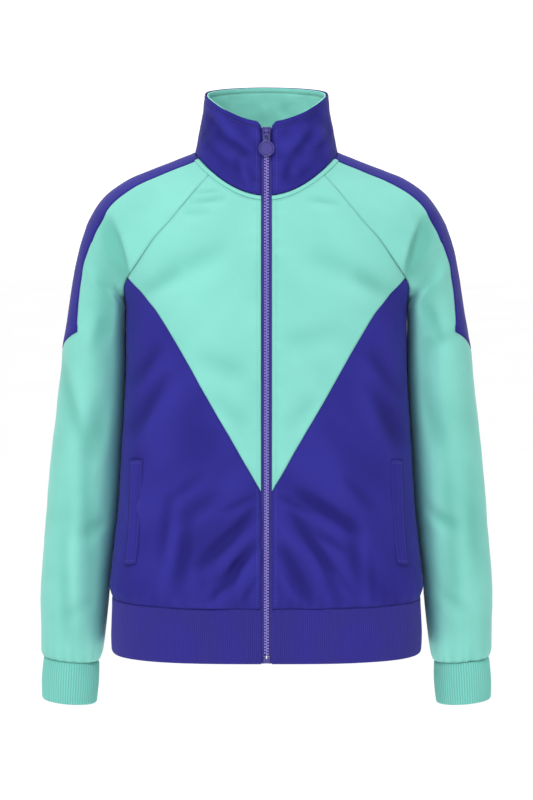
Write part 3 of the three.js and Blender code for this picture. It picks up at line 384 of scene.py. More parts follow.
def ripple(point: Vector, size: float, seed: float = 0.0) -> float:
    """Soft noise between about -1 and 1 over a length in mm."""
    return noise.noise(point / size + Vector((seed, seed * 0.7, -seed)))


def axis_point(middle: Vector) -> Vector:
    """The point of the body's axis at the height of another."""
    return Vector((0, 0, middle.z))


class Wire:
    """The output of a shader node, which takes part in sums like a number."""

    def __init__(self, bench: "Bench", socket: bpy.types.NodeSocket) -> None:
        """Keeps the socket and the bench that it is wired on."""
        self.bench = bench
        self.socket = socket

    def _with(self, operation: str, first: "Wire | float", second: "Wire | float") -> "Wire":
        """A maths node of two values."""
        return self.bench.add("ShaderNodeMath", {"operation": operation}, {0: first, 1: second})

    def __add__(self, other: "Wire | float") -> "Wire":
        """self + other."""
        return self._with("ADD", self, other)

    def __radd__(self, other: float) -> "Wire":
        """other + self."""
        return self._with("ADD", other, self)

    def __sub__(self, other: "Wire | float") -> "Wire":
        """self - other."""
        return self._with("SUBTRACT", self, other)

    def __rsub__(self, other: float) -> "Wire":
        """other - self."""
        return self._with("SUBTRACT", other, self)

    def __mul__(self, other: "Wire | float") -> "Wire":
        """self * other."""
        return self._with("MULTIPLY", self, other)

    def wave(self, pitch: float = math.tau) -> "Wire":
        """A wave of the value between 0 and 1, repeated every pitch."""
        turned = self if pitch == math.tau else self * (math.tau / pitch)
        return self._with("SINE", turned, 0.0) * 0.5 + 0.5

    def arch(self, pitch: float) -> "Wire":
        """Arches of the value between 0 and 1, one every pitch."""
        return self._with("SINE", self * (math.pi / pitch), 0.0).size()

    def size(self) -> "Wire":
        """The value without its sign."""
        return self._with("ABSOLUTE", self, 0.0)


class Bench:
    """One node tree and the ways to add to it."""

    def __init__(self, tree: bpy.types.NodeTree) -> None:
        """Takes an empty tree."""
        self.tree = tree

    def add(self, kind: str, settings: dict | None = None, inputs: dict | None = None,
            out: int | str = 0) -> Wire:
        """Adds a node.

        Args:
            kind: the node's type.
            settings: properties of the node.
            inputs: a wire or a constant for each named or numbered input.
            out: the output that is wanted.

        Returns:
            The wire of that output.
        """
        node = self.tree.nodes.new(kind)
        for name, value in (settings or {}).items():
            setattr(node, name, value)
        for name, value in (inputs or {}).items():
            if isinstance(value, Wire):
                self.tree.links.new(value.socket, node.inputs[name])
            else:
                node.inputs[name].default_value = value
        return Wire(self, node.outputs[out] if node.outputs else None)

    def blend(self, share: Wire | float, low: Wire | tuple, high: Wire | tuple) -> Wire:
        """A colour a share of the way from low to high."""
        settings = {"data_type": "RGBA", "clamp_factor": True}
        return self.add("ShaderNodeMix", settings, {0: share, 6: low, 7: high}, 2)

    def noise(self, where: Wire, scale: float, detail: float = 2.0) -> Wire:
        """Noise with a number of lumps to the metre."""
        inputs = {"Vector": where, "Scale": scale, "Detail": detail}
        return self.add("ShaderNodeTexNoise", {}, inputs, "Fac")

    def where(self, name: str = "Object") -> Wire:
        """The place on the piece, by a name of the coordinate node."""
        return self.add("ShaderNodeTexCoord", {}, {}, name)

    def parts(self, vector: Wire) -> tuple[Wire, Wire, Wire]:
        """The three parts of a vector."""
        node = self.add("ShaderNodeSeparateXYZ", {}, {0: vector})
        return tuple(Wire(self, socket) for socket in node.socket.node.outputs)

    def stretched(self, vector: Wire, by: tuple[float, float, float]) -> Wire:
        """A vector with each part multiplied."""
        return self.add("ShaderNodeVectorMath", {"operation": "MULTIPLY"}, {0: vector, 1: by})

    def attribute(self, name: str) -> Wire:
        """A number that each point of the mesh carries."""
        return self.add("ShaderNodeAttribute", {"attribute_name": name}, {}, "Fac")

    def ramp(self, value: Wire, low: float, high: float) -> Wire:
        """A smooth step from 0 at low to 1 at high."""
        inputs = {"Value": value, "From Min": low, "From Max": high, "To Min": 0.0, "To Max": 1.0}
        return self.add("ShaderNodeMapRange", {"interpolation_type": "SMOOTHSTEP"}, inputs)

    def bump(self, height: Wire, distance: float) -> Wire:
        """A bump from a height between 0 and 1 and its size in metres."""
        inputs = {"Height": height, "Distance": distance, "Strength": 1.0}
        return self.add("ShaderNodeBump", {}, inputs, "Normal")


def scaled(colour: tuple[float, float, float], by: float) -> tuple[float, float, float, float]:
    """A colour made lighter or darker, with full alpha."""
    return (*(min(part * by, 1.0) for part in colour), 1.0)


def blank_material(name: str) -> tuple[bpy.types.Material, Bench]:
    """A material with an empty tree."""
    material = bpy.data.materials.new(name)
    material.use_nodes = True
    material.node_tree.nodes.clear()
    return material, Bench(material.node_tree)


def surfaced(bench: Bench, inputs: dict) -> None:
    """Ends a tree in a surface shader and its output."""
    shader = bench.add("ShaderNodeBsdfPrincipled", {}, inputs)
    bench.add("ShaderNodeOutputMaterial", {}, {"Surface": shader})


@dataclass(frozen=True)
class KnitFinish:
    """Smooth warp-knit cloth: fine wales, faint courses, a soft satin sheen."""

    name: str
    colour: tuple[float, float, float]
    wale: float = 0.0009
    roughness: float = 0.56
    sheen: float = 0.1
    specular: float = 0.14
    # the darker copy that paints shade in pressed folds: its saturation and darkness, and the press
    # depths that run from lit to shaded
    deepening: float = 1.22
    shade: float = 0.9
    dips: tuple[float, float] = (-2.2, 3.6)

    def make(self) -> bpy.types.Material:
        """Builds the material on the cloth's own measured UV map.

        Returns:
            The material.
        """
        material, bench = blank_material(self.name)
        across, along, _ = bench.parts(bench.where("UV"))
        place = bench.where("Object")
        wales, courses = across.wave(self.wale), along.wave(self.wale * 1.3)
        fuzz = bench.noise(place, 2600.0, 3.0)
        cloudy = bench.noise(place, 9.0, 4.0)
        slub = bench.noise(bench.stretched(bench.where("UV"), (1600.0, 110.0, 1.0)), 1.0, 2.0)
        seam = bench.attribute("seam")
        # Painted shade in folds: a lighter copy of the colour on ridges and flat cloth, a darker,
        # more saturated copy where the cloth is pressed in; random tone runs through both.
        valley = bench.ramp(bench.attribute("dip"), *self.dips)
        worn = cloudy * 0.5 + slub * 0.3 + fuzz * 0.2
        light = bench.blend(worn, scaled(self.colour, 1.02), scaled(self.colour, 1.28))
        full = tuple(part ** self.deepening * self.shade for part in self.colour)
        deep = bench.blend(worn, scaled(full, 0.88), scaled(full, 1.12))
        # Painted shade along seams, stitch rows and pocket mouths, from the seam layer.
        colour = bench.blend(seam * 0.3, bench.blend(valley, light, deep), scaled(self.colour, 0.5))
        height = wales * 0.55 + courses * 0.2 + fuzz * 0.5
        surfaced(bench, {
            "Base Color": colour,
            "Roughness": self.roughness - 0.06 + cloudy * 0.12,
            "Sheen Weight": self.sheen,
            "Sheen Roughness": 0.45,
            "Specular IOR Level": self.specular,
            "Normal": bench.bump(height, 0.00006),
        })
        return material


@dataclass(frozen=True)
class RibFinish:
    """Rib-knit band: the ribs are in the mesh, the loops along them are in the bump."""

    name: str
    colour: tuple[float, float, float]
    rib: float
    loop: float = 0.0011

    def make(self) -> bpy.types.Material:
        """Builds the material on the band's measured UV map.

        Returns:
            The material.
        """
        material, bench = blank_material(self.name)
        across, along, _ = bench.parts(bench.where("UV"))
        place = bench.where("Object")
        valley = across.arch(self.rib)
        loops = (along * (math.tau / self.loop) + valley * 2.2).wave()
        fuzz = bench.noise(place, 2200.0, 3.0)
        cloudy = bench.noise(place, 14.0, 3.0)
        # Painted shade: the colour is darker in the valleys between the ribs and lighter on their
        # tops, with random tone mixed in.
        depth = valley * 0.7 + cloudy * 0.3
        colour = bench.blend(depth, scaled(self.colour, 0.62), scaled(self.colour, 1.1))
        surfaced(bench, {
            "Base Color": colour,
            "Roughness": cloudy * 0.12 + 0.66,
            "Sheen Weight": 0.1,
            "Sheen Roughness": 0.5,
            "Specular IOR Level": 0.2,
            "Normal": bench.bump(loops * 0.5 + fuzz * 0.6, 0.00012),
        })
        return material


@dataclass(frozen=True)
class WovenFinish:
    """Dense woven zip tape with a fine slanting twill."""

    name: str
    colour: tuple[float, float, float]
    twill: float = 0.0007
    warp: float = 0.0004

    def make(self) -> bpy.types.Material:
        """Builds the twill on Object coordinates.

        Returns:
            The material.
        """
        material, bench = blank_material(self.name)
        place = bench.where("Object")
        x, _, z = bench.parts(place)
        twill, warp = (x + z).wave(self.twill), x.wave(self.warp)
        cloudy = bench.noise(place, 60.0, 3.0)
        share = twill * 0.5 + cloudy * 0.5
        surfaced(bench, {
            "Base Color": bench.blend(share, scaled(self.colour, 0.75), scaled(self.colour, 1.15)),
            "Roughness": cloudy * 0.1 + 0.72,
            "Sheen Weight": 0.2,
            "Normal": bench.bump(twill * 0.6 + warp * 0.4, 0.00008),
        })
        return material


@dataclass(frozen=True)
class MouldedFinish:
    """Moulded plastic or painted metal: a lacquer coat over a slightly uneven colour."""

    name: str
    colour: tuple[float, float, float]
    roughness: float = 0.36
    metallic: float = 0.0
    coat: float = 0.2

    def make(self) -> bpy.types.Material:
        """Builds the finish on Object coordinates.

        Returns:
            The material.
        """
        material, bench = blank_material(self.name)
        place = bench.where("Object")
        cloudy = bench.noise(place, 180.0, 4.0)
        grain = bench.noise(place, 2400.0, 2.0)
        rubbed = bench.noise(place, 700.0, 5.0)
        surfaced(bench, {
            "Base Color": bench.blend(cloudy, scaled(self.colour, 0.85), scaled(self.colour, 1.15)),
            "Roughness": rubbed * 0.18 + (self.roughness - 0.09),
            "Metallic": self.metallic,
            "Coat Weight": self.coat,
            "Coat Roughness": 0.25,
            "Normal": bench.bump(grain * 0.6 + rubbed * 0.4, 0.00003),
        })
        return material


@dataclass(frozen=True)
class ThreadFinish:
    """Sewing thread: a tight twist with a dull shine."""

    name: str
    colour: tuple[float, float, float]
    twist: float = 0.0005

    def make(self) -> bpy.types.Material:
        """Builds the twist on Object coordinates.

        Returns:
            The material.
        """
        material, bench = blank_material(self.name)
        place = bench.where("Object")
        x, y, z = bench.parts(place)
        twist = (x + y + z).wave(self.twist)
        cloudy = bench.noise(place, 120.0, 2.0)
        share = twist * 0.4 + cloudy * 0.6
        surfaced(bench, {
            "Base Color": bench.blend(share, scaled(self.colour, 0.8), scaled(self.colour, 1.15)),
            "Roughness": cloudy * 0.1 + 0.5,
            "Sheen Weight": 0.15,
            "Normal": bench.bump(twist, 0.00005),
        })
        return material


MINT = (0.213, 0.588, 0.508)
PURPLE = (0.0285, 0.0255, 0.24)


@dataclass
class Wardrobe:
    """The finishes of the jacket, made once."""

    def __post_init__(self) -> None:
        """Builds each material."""
        rows = {
            "mint": KnitFinish("mint_knit", MINT),
            # the purple's painted fold shade is darker and less saturated than the mint's
            "purple": KnitFinish("purple_knit", PURPLE, sheen=0.02, specular=0.05,
                                 deepening=1.05, shade=0.72),
            # A lighter copy of the mint: painted light for the inside of the collar.
            "mint_inside": KnitFinish("mint_knit_inside", scaled(MINT, 1.16)[:3]),
            "mint_rib": RibFinish("mint_rib_knit", (0.19, 0.6, 0.52), 0.003),
            "purple_rib": RibFinish("purple_rib_knit", (0.026, 0.0205, 0.25), 0.0024),
            "tape": WovenFinish("zip_tape_weave", scaled(PURPLE, 1.0)[:3]),
            "teeth": MouldedFinish("zip_teeth_plastic", (0.18, 0.14, 0.5), 0.3, 0.0, 0.3),
            "metal": MouldedFinish("zip_painted_metal", (0.055, 0.043, 0.25), 0.4, 0.1, 0.2),
            "mint_thread": ThreadFinish("mint_thread", scaled(MINT, 0.86)[:3]),
            "purple_thread": ThreadFinish("purple_thread", (0.052, 0.044, 0.3)),
        }
        self.materials = {key: finish.make() for key, finish in rows.items()}

    def __getitem__(self, key: str) -> bpy.types.Material:
        """The material of a short name."""
        return self.materials[key]


@dataclass(frozen=True)
class Cut:
    """The flat cut of a cloth: width, length and area in metres."""

    width: float
    length: float
    area: float
    hold: Hold = Hold.HUNG


def stored(name: str, mesh: bmesh.types.BMesh) -> bpy.types.Mesh:
    """Writes a mesh to a new data block and frees it."""
    data = bpy.data.meshes.new(name)
    mesh.to_mesh(data)
    mesh.free()
    return data


def shown(name: str, data: bpy.types.ID) -> bpy.types.Object:
    """Puts a data block in the scene as an object."""
    thing = bpy.data.objects.new(name, data)
    bpy.context.collection.objects.link(thing)
    return thing


def add_copy(mesh: bmesh.types.BMesh, block: bpy.types.Mesh, turn: Matrix) -> None:
    """Adds a turned and moved copy of a block to a mesh."""
    twin = block.copy()
    twin.transform(turn)
    mesh.from_mesh(twin)
    bpy.data.meshes.remove(twin)


def finished(name: str, mesh: bmesh.types.BMesh, material: bpy.types.Material,
             body: str = "jacket", nodes: Sequence[str] = ()) -> bpy.types.Object:
    """Writes a mesh in metres to a new piece and says what it rides on.

    Args:
        name: the piece's name.
        mesh: the mesh, in mm. It is freed.
        material: its material.
        body: the body that it rides on.
        nodes: the nodes that it replaces.

    Returns:
        The piece.
    """
    bmesh.ops.scale(mesh, vec=(MM, MM, MM), verts=mesh.verts)
    data = stored(name, mesh)
    data.materials.append(material)
    data.polygons.foreach_set("use_smooth", [True] * len(data.polygons))
    piece = shown(name, data)
    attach(piece, body)
    if nodes:
        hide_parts(*nodes)
    LOG.info("%s: %d faces", name, len(data.polygons))
    return piece


def steps(count: int, edge: float = 0.0, grip: int = 0) -> list[float]:
    """Shares from 0 to 1, with extra ones close to both ends.

    Args:
        count: even steps.
        edge: how far in the nearest extra share is.
        grip: how many extra shares stand at each end.

    Returns:
        The shares in order.
    """
    even = [k / count for k in range(count + 1)]
    extra = [edge * (k + 1) for k in range(grip)]
    edge_end = extra[-1] + 0.2 / count if extra else -1.0
    inside = [s for s in even if edge_end < s < 1 - edge_end]
    return sorted({0.0, 1.0, *inside, *extra, *(1 - s for s in extra)})


class Cloth:
    """A sheet of cloth on a grid of two shares, with a place and a UV for each point."""

    def __init__(self, across: Sequence[float], up: Sequence[float], place: PointAt,
                 measure: Callable[[float, float], tuple[float, float]]) -> None:
        """Makes the grid and lays it in place.

        Args:
            across: shares of the columns.
            up: shares of the rows.
            place: the point of a column share and a row share, in mm.
            measure: the cloth's own measure of the same, in mm.
        """
        self.mesh = bmesh.new()
        columns, rows = len(across) - 1, len(up) - 1
        bmesh.ops.create_grid(self.mesh, x_segments=columns, y_segments=rows, size=0.5)
        self.shares: dict[int, Station] = {}
        self.mesh.verts.ensure_lookup_table()
        for vert in self.mesh.verts:
            u = across[round((vert.co.x + 0.5) * columns)]
            v = up[round((vert.co.y + 0.5) * rows)]
            self.shares[vert.index] = (u, v)
            vert.co = place(u, v)
        uv = self.mesh.loops.layers.uv.new("UVMap")
        # the last two layers paint shade into the colour: along seams and stitch rows, and in
        # pressed folds
        for name in ("share_u", "share_v", "seam", "dip"):
            self.mesh.verts.layers.float.new(name)
        self.find_layers()
        for vert in self.mesh.verts:
            vert[self.share_u], vert[self.share_v] = self.shares[vert.index]
        for face in self.mesh.faces:
            for loop in face.loops:
                x, y = measure(*self.shares[loop.vert.index])
                loop[uv].uv = (x * MM, y * MM)

    def find_layers(self) -> None:
        """Reads the mesh's layers: both shares, then how near a seam it is and how deep it is
        pressed, which paint shade into the colour.
        """
        layers = self.mesh.verts.layers.float
        self.share_u, self.share_v = layers["share_u"], layers["share_v"]
        self.seam, self.dip = layers["seam"], layers["dip"]

    def part(self, layer_name: str, keep: int) -> "Cloth":
        """A copy with only the faces that have one number in a layer.

        Args:
            layer_name: the layer.
            keep: the number.

        Returns:
            The part.
        """
        part = copy.copy(self)
        part.mesh = self.mesh.copy()
        part.find_layers()
        layer = part.mesh.faces.layers.int[layer_name]
        drop = [face for face in part.mesh.faces if face[layer] != keep]
        bmesh.ops.delete(part.mesh, geom=drop, context="FACES")
        return part

    def face_out(self, inside: Callable[[Vector], Vector] = axis_point) -> None:
        """Turns all faces over where they look towards the inside.

        Args:
            inside: a point behind the cloth for a face's middle.
        """
        self.mesh.normal_update()
        total = 0.0
        for face in self.mesh.faces:
            middle = face.calc_center_median()
            total += face.normal.dot(middle - inside(middle)) * face.calc_area()
        if total < 0:
            bmesh.ops.reverse_faces(self.mesh, faces=self.mesh.faces)
        self.mesh.normal_update()

    def press(self, depth: Callable[[Vector, Vector, float, float], float]) -> None:
        """Moves each point in along its normal and keeps how far, as the depth of its painted
        shade.

        Args:
            depth: how far, from the point, its normal and its two shares.
        """
        self.mesh.normal_update()
        moves = [
            vert.normal * -depth(vert.co, vert.normal, vert[self.share_u], vert[self.share_v])
            for vert in self.mesh.verts
        ]
        for vert, move in zip(self.mesh.verts, moves):
            vert[self.dip] += -move.dot(vert.normal)
            vert.co += move
        self.mesh.normal_update()

    def tint(self, change: Callable[[float, Vector], float]) -> None:
        """Changes the painted shade of each point, by its depth and normal."""
        for vert in self.mesh.verts:
            vert[self.dip] = change(vert[self.dip], vert.normal)

    def tuck(self, reach: float = 2.2, depth: float = 0.35) -> None:
        """Rolls the free edges in and marks how near the seam each point is, for painted shade
        along the seam.

        Args:
            reach: how wide the rolled strip is in mm.
            depth: how far the edge itself goes in.
        """
        rim = [edge for edge in self.mesh.edges if edge.is_boundary]
        tree = BVHTree.FromPolygons(
            [vert.co.copy() for edge in rim for vert in (*edge.verts, edge.verts[1])],
            [(3 * k, 3 * k + 1, 3 * k + 2) for k in range(len(rim))],
        )
        self.mesh.normal_update()
        for vert in self.mesh.verts:
            _, _, _, far = tree.find_nearest(vert.co, reach * 2.5)
            if far is None:
                continue
            near = math.exp(-((far / reach) ** 2) * 2.2)
            vert[self.seam] = max(vert[self.seam], near)
            swell = 0.18 * math.exp(-(((far - reach * 1.5) / reach) ** 2) * 2)
            vert.co -= vert.normal * (depth * near - swell)

    def mark(self, strength: Callable[[float, float], float]) -> None:
        """Paints shade along a line by the shares of its points: a stitched groove or a pocket's
        mouth.
        """
        for vert in self.mesh.verts:
            dark = strength(vert[self.share_u], vert[self.share_v])
            vert[self.seam] = max(vert[self.seam], dark)

    def piece(self, name: str, material: bpy.types.Material, slot: str, cut: Cut,
              rests_on: Sequence[str], wall: float = WALL) -> None:
        """Args:
            name: the piece's name.
            material: its material.
            slot: not used.
            cut: its flat cut.
            rests_on: not used.
            wall: thickness in mm.
        """
        self.skin = BVHTree.FromBMesh(self.mesh)
        area = sum(face.calc_area() for face in self.mesh.faces) * 1e-6
        LOG.info("%s: %.4f m2 of cloth, cut %.4f", name, area, cut.area)
        piece = finished(f"{name}_cloth", self.mesh, material, "jacket", [name])
        shell = piece.modifiers.new("wall", "SOLIDIFY")
        shell.thickness = wall * MM
        shell.offset = -1
        shell.use_even_offset = False


def patch(bottom: Edge, top: Edge, left: Edge, right: Edge) -> Stations:
    """Turn and height between four seams, each blended from its neighbours.

    Args:
        bottom: the lower seam by the share across.
        top: the upper seam by the share across.
        left: the first side by the share up.
        right: the second side by the share up.

    Returns:
        The station of a share across and a share up.
    """
    corners = bottom(0), bottom(1), top(0), top(1)

    def at(u: float, v: float) -> Station:
        """The station of two shares."""
        low, high, first, second = bottom(u), top(u), left(v), right(v)
        return tuple(
            (1 - v) * low[k] + v * high[k] + (1 - u) * first[k] + u * second[k]
            - (1 - u) * (1 - v) * corners[0][k] - u * (1 - v) * corners[1][k]
            - (1 - u) * v * corners[2][k] - u * v * corners[3][k]
            for k in range(2)
        )

    return at


def mirrored(point: Vector, side: int) -> Vector:
    """The point on its own side of the body."""
    return Vector((point.x * side, point.y, point.z))


FRONT_FOLDS = (
    Fold(-1, (10, -396), (84, -466), 8, 3.2), Fold(-1, (8, -424), (66, -507), 7, 2.6),
    Fold(-1, (88, -398), (106, -502), 9, 2.4, -0.5), Fold(-1, (112, -372), (122, -470), 7, 1.6),
    Fold(-1, (112, -235), (160, -322), 10, 2.4), Fold(-1, (120, -205), (158, -262), 8, 1.6),
    Fold(-1, (30, -448), (46, -508), 6, 1.5, -0.5), Fold(-1, (48, -372), (112, -412), 9, 1.3),
    Fold(1, (32, -370), (114, -426), 8, 3.0), Fold(1, (22, -390), (80, -472), 7, 2.6),
    Fold(1, (14, -430), (54, -507), 7, 2.2), Fold(1, (92, -398), (112, -500), 9, 1.8, -0.5),
    Fold(1, (118, -245), (160, -335), 10, 2.2), Fold(1, (116, -210), (156, -275), 8, 1.5),
    Fold(1, (60, -440), (86, -507), 7, 1.4), Fold(1, (118, -430), (126, -508), 6, 1.3),
    Fold(-1, (10, -376), (54, -398), 4, 1.3), Fold(-1, (12, -388), (40, -424), 3.5, 1.0),
    Fold(-1, (20, -446), (60, -482), 4.5, 1.2), Fold(-1, (34, -470), (74, -506), 4, 1.1),
    Fold(-1, (10, -470), (30, -507), 4, 1.0), Fold(-1, (70, -350), (120, -392), 6, 1.0),
    Fold(1, (10, -376), (58, -402), 4, 1.3), Fold(1, (14, -398), (44, -440), 4, 1.0),
    Fold(1, (16, -456), (40, -500), 4, 1.1), Fold(1, (52, -416), (96, -446), 5, 1.2),
    Fold(1, (70, -452), (104, -498), 5, 1.0), Fold(1, (84, -352), (128, -400), 6, 1.0),
    Fold(-1, (44, -38), (90, -44), 4, 1.1), Fold(-1, (52, -30), (84, -34), 3, 0.8),
    Fold(1, (46, -40), (88, -46), 4, 0.9), Fold(-1, (62, -52), (98, -56), 5, 0.7),
    Fold(-1, (40, -90), (128, -128), 12, 0.9), Fold(1, (48, -96), (134, -140), 12, 0.9),
    Fold(-1, (96, -120), (150, -150), 9, 1.2), Fold(1, (98, -124), (150, -152), 9, 1.1),
    Fold(0, (20, -300), (60, -262), 10, 0.7), Fold(1, (16, -200), (90, -188), 12, 0.7),
    Fold(-1, (14, -240), (84, -216), 12, 0.8),
)
BACK_FOLDS = (
    Fold(-1, (26, -392), (120, -456), 10, 2.8), Fold(-1, (92, -148), (148, -238), 10, 3.0),
    Fold(1, (20, -418), (106, -472), 10, 2.6), Fold(1, (90, -152), (144, -252), 10, 3.0),
    Fold(-1, (60, -438), (88, -508), 8, 1.8), Fold(1, (96, -400), (118, -500), 9, 2.0, -0.5),
    Fold(0, (112, -200), (158, -300), 9, 1.8), Fold(1, (24, -300), (120, -318), 13, 1.4),
    Fold(-1, (12, -338), (96, -366), 12, 1.5), Fold(0, (38, -78), (104, -112), 11, 1.1),
    Fold(1, (14, -455), (40, -508), 7, 1.5), Fold(-1, (118, -430), (132, -508), 7, 1.5),
)


def sewn_shape(side: int, folds: Iterable[Fold], seed: float, pucker: float,
               strength: float = 1.0) -> Callable[..., float]:
    """The press of a panel: its folds, the hem's gathers, the zip's puckers and soft waves.

    Args:
        side: +1 or -1.
        folds: the folds of the panel.
        seed: a number that makes the waves of this panel its own.
        pucker: how strong the puckers along the zip are in mm.
        strength: how strong the soft waves are.

    Returns:
        The depth by point, normal and shares.
    """

    def depth(point: Vector, normal: Vector, u: float, v: float) -> float:
        """The press at one point."""
        x, z = abs(point.x), point.z
        total = 1.5 * fold_depth(folds, side, x, z)
        low = max(z - HEM_SEAM_Z, 0.0)
        gather = math.exp(-low / 16) * ease(0, 3, low)
        angle = math.atan2(point.x, -point.y) * GIRTH
        wobble = ripple(Vector((angle, 0, 0)), 34, seed)
        total += gather * (math.sin(angle / 2.3 + 4 * wobble) * 0.5 + wobble)
        past, height = x - ZIP_HALF, Vector((0, 0, z))
        near_zip = math.exp(-max(past, 0) / 11) * ease(0, 5, past) * (point.y < 0)
        pulse = ripple(height, 11, seed + 3) + 0.6 * ripple(height, 5.5, seed + 7)
        total += near_zip * pucker * pulse
        calm = 1 - 0.85 * ease(0.75, 0.97, abs(normal.x))
        slant = Vector((x * 0.62 + z * 0.5, point.y * 0.3, (z - x) * 0.2))
        waves = 1.6 if z < -300 and point.y < 0 else 1.0
        soft = ripple(point, 62, seed) + waves * 0.9 * ripple(slant, 21, seed + 1)
        return total + calm * strength * soft

    return depth


@dataclass
class Fronts:
    """The upper and lower front of each side, joined along the V."""

    wardrobe: Wardrobe
    yoke_cut: Cut = Cut(0.185, 0.345, 0.029)
    lower_cut: Cut = Cut(0.262, 0.378, 0.064)
    skins: dict[str, BVHTree] = field(default_factory=dict)

    @staticmethod
    def yoke_patch() -> Stations:
        """Stations of the upper front."""
        neck_edge = FORM.turn_at(ZIP_HALF, -37)
        top_z, low_z = FORM.neck(0).z, FORM.v_stations[0][1]

        def neck(u: float) -> Station:
            """The neck seam."""
            turn = mix(neck_edge, FORM.front_neck_turn, u)
            return turn, FORM.neck(turn).z

        def zip_edge(v: float) -> Station:
            """The edge along the zip."""
            z = mix(top_z, low_z, (1 - v) ** 1.6)
            return FORM.turn_at(ZIP_HALF, z), z

        return patch(lambda u: FORM.station(FORM.v_seam, u), neck, zip_edge,
                     lambda v: FORM.station(FORM.raglan, 1 - v))

    @staticmethod
    def lower_patch() -> Stations:
        """Stations of the lower front."""
        low = FORM.turn_at(ZIP_HALF, HEM_SEAM_Z)
        top_z = FORM.v_stations[0][1]

        def top(u: float) -> Station:
            """The V, then the seam under the arm."""
            at = u * 16
            if at <= ARMHOLE_STEPS:
                return FORM.station(FORM.v_seam, at / ARMHOLE_STEPS)
            return FORM.front_armhole(at - 3)

        def zip_edge(v: float) -> Station:
            """The edge along the zip."""
            z = mix(HEM_SEAM_Z, top_z, v)
            return FORM.turn_at(ZIP_HALF, z), z

        return patch(lambda u: (mix(low, SIDE_TURN, u), HEM_SEAM_Z), top, zip_edge,
                     lambda v: (SIDE_TURN, mix(HEM_SEAM_Z, UNDERARM_Z, v)))

    def panel(self, place: Place, name: str, stations: Stations,
              across: Sequence[float], up: Sequence[float], colour: str, cut: Cut) -> None:
        """Builds one panel.

        Args:
            place: its side.
            name: its node.
            stations: turn and height by shares.
            across: column shares.
            up: row shares.
            colour: short name of the cloth.
            cut: its flat cut.
        """
        side = place.value
        cloth = Cloth(
            across, up,
            lambda u, v: mirrored(FORM.point(*stations(u, v)), side),
            lambda u, v: (stations(u, v)[0] * GIRTH, stations(u, v)[1]),
        )
        cloth.face_out()
        strength = 0.45 if colour == "mint" else 1.0
        cloth.press(sewn_shape(side, FRONT_FOLDS, 11.3 * side + len(name), 0.9, strength))
        cloth.tuck()
        node = f"{name}_{place.word}"
        cloth.piece(node, self.wardrobe[colour], f"{colour}_cloth", cut,
                    ["collar_outer", "hem_band"])
        self.skins[node] = cloth.skin

    def build(self) -> None:
        """Builds the four panels."""
        for place in Place:
            self.panel(place, "front_yoke", self.yoke_patch(), steps(64, 0.008, 3),
                       steps(104, 0.005, 3), "mint", self.yoke_cut)
            self.panel(place, "front_lower", self.lower_patch(), steps(84, 0.006, 3),
                       steps(84, 0.006, 3), "purple", self.lower_cut)


@dataclass
class Back:
    """The back in one panel."""

    wardrobe: Wardrobe
    cut: Cut = Cut(0.51, 0.545, 0.208)

    def build(self) -> None:
        """Builds the panel from both halves of one patch."""
        neck_z = FORM.neck(BACK_TURN).z

        def centre(v: float) -> Station:
            """The line down the middle."""
            at = v * (SIDE_STEPS + ARMHOLE_STEPS)
            if at <= SIDE_STEPS:
                return BACK_TURN, mix(HEM_SEAM_Z, UNDERARM_Z, at / SIDE_STEPS)
            return BACK_TURN, mix(UNDERARM_Z, neck_z, (at - SIDE_STEPS) / ARMHOLE_STEPS)

        def outer(v: float) -> Station:
            """The side seam, then the armhole."""
            at = v * (SIDE_STEPS + ARMHOLE_STEPS)
            if at <= SIDE_STEPS:
                return SIDE_TURN, mix(HEM_SEAM_Z, UNDERARM_Z, at / SIDE_STEPS)
            return FORM.back_armhole(SIDE_STEPS + ARMHOLE_STEPS - at)

        def neck(u: float) -> Station:
            """The neck seam behind."""
            turn = mix(BACK_TURN, FORM.back_neck_turn, u)
            return turn, FORM.neck(turn).z

        half = patch(lambda u: (mix(BACK_TURN, SIDE_TURN, u), HEM_SEAM_Z), neck, centre, outer)

        def place(u: float, v: float) -> Vector:
            """The point of the whole panel."""
            point = FORM.point(*half(abs(2 * u - 1), v))
            return mirrored(point, (u > 0.5) - (u < 0.5))

        def measure(u: float, v: float) -> tuple[float, float]:
            """Cloth measure of the whole panel."""
            turn, z = half(abs(2 * u - 1), v)
            return (BACK_TURN - turn) * GIRTH * (1 if u > 0.5 else -1), z

        def depth(point: Vector, normal: Vector, u: float, v: float) -> float:
            """The press, with the folds of the point's own side."""
            shape = shapes[1 if point.x > 0 else -1]
            return shape(point, normal, u, v) * ease(0, 0.03, v) ** 0.2

        shapes = {side: sewn_shape(side, BACK_FOLDS, 5.7, 0) for side in (1, -1)}
        cloth = Cloth(steps(150, 0.003, 3), steps(150, 0.003, 3), place, measure)
        cloth.face_out()
        cloth.press(depth)
        cloth.tuck()
        cloth.piece("back", self.wardrobe["purple"], "purple_cloth", self.cut,
                    ["collar_outer", "hem_band"])


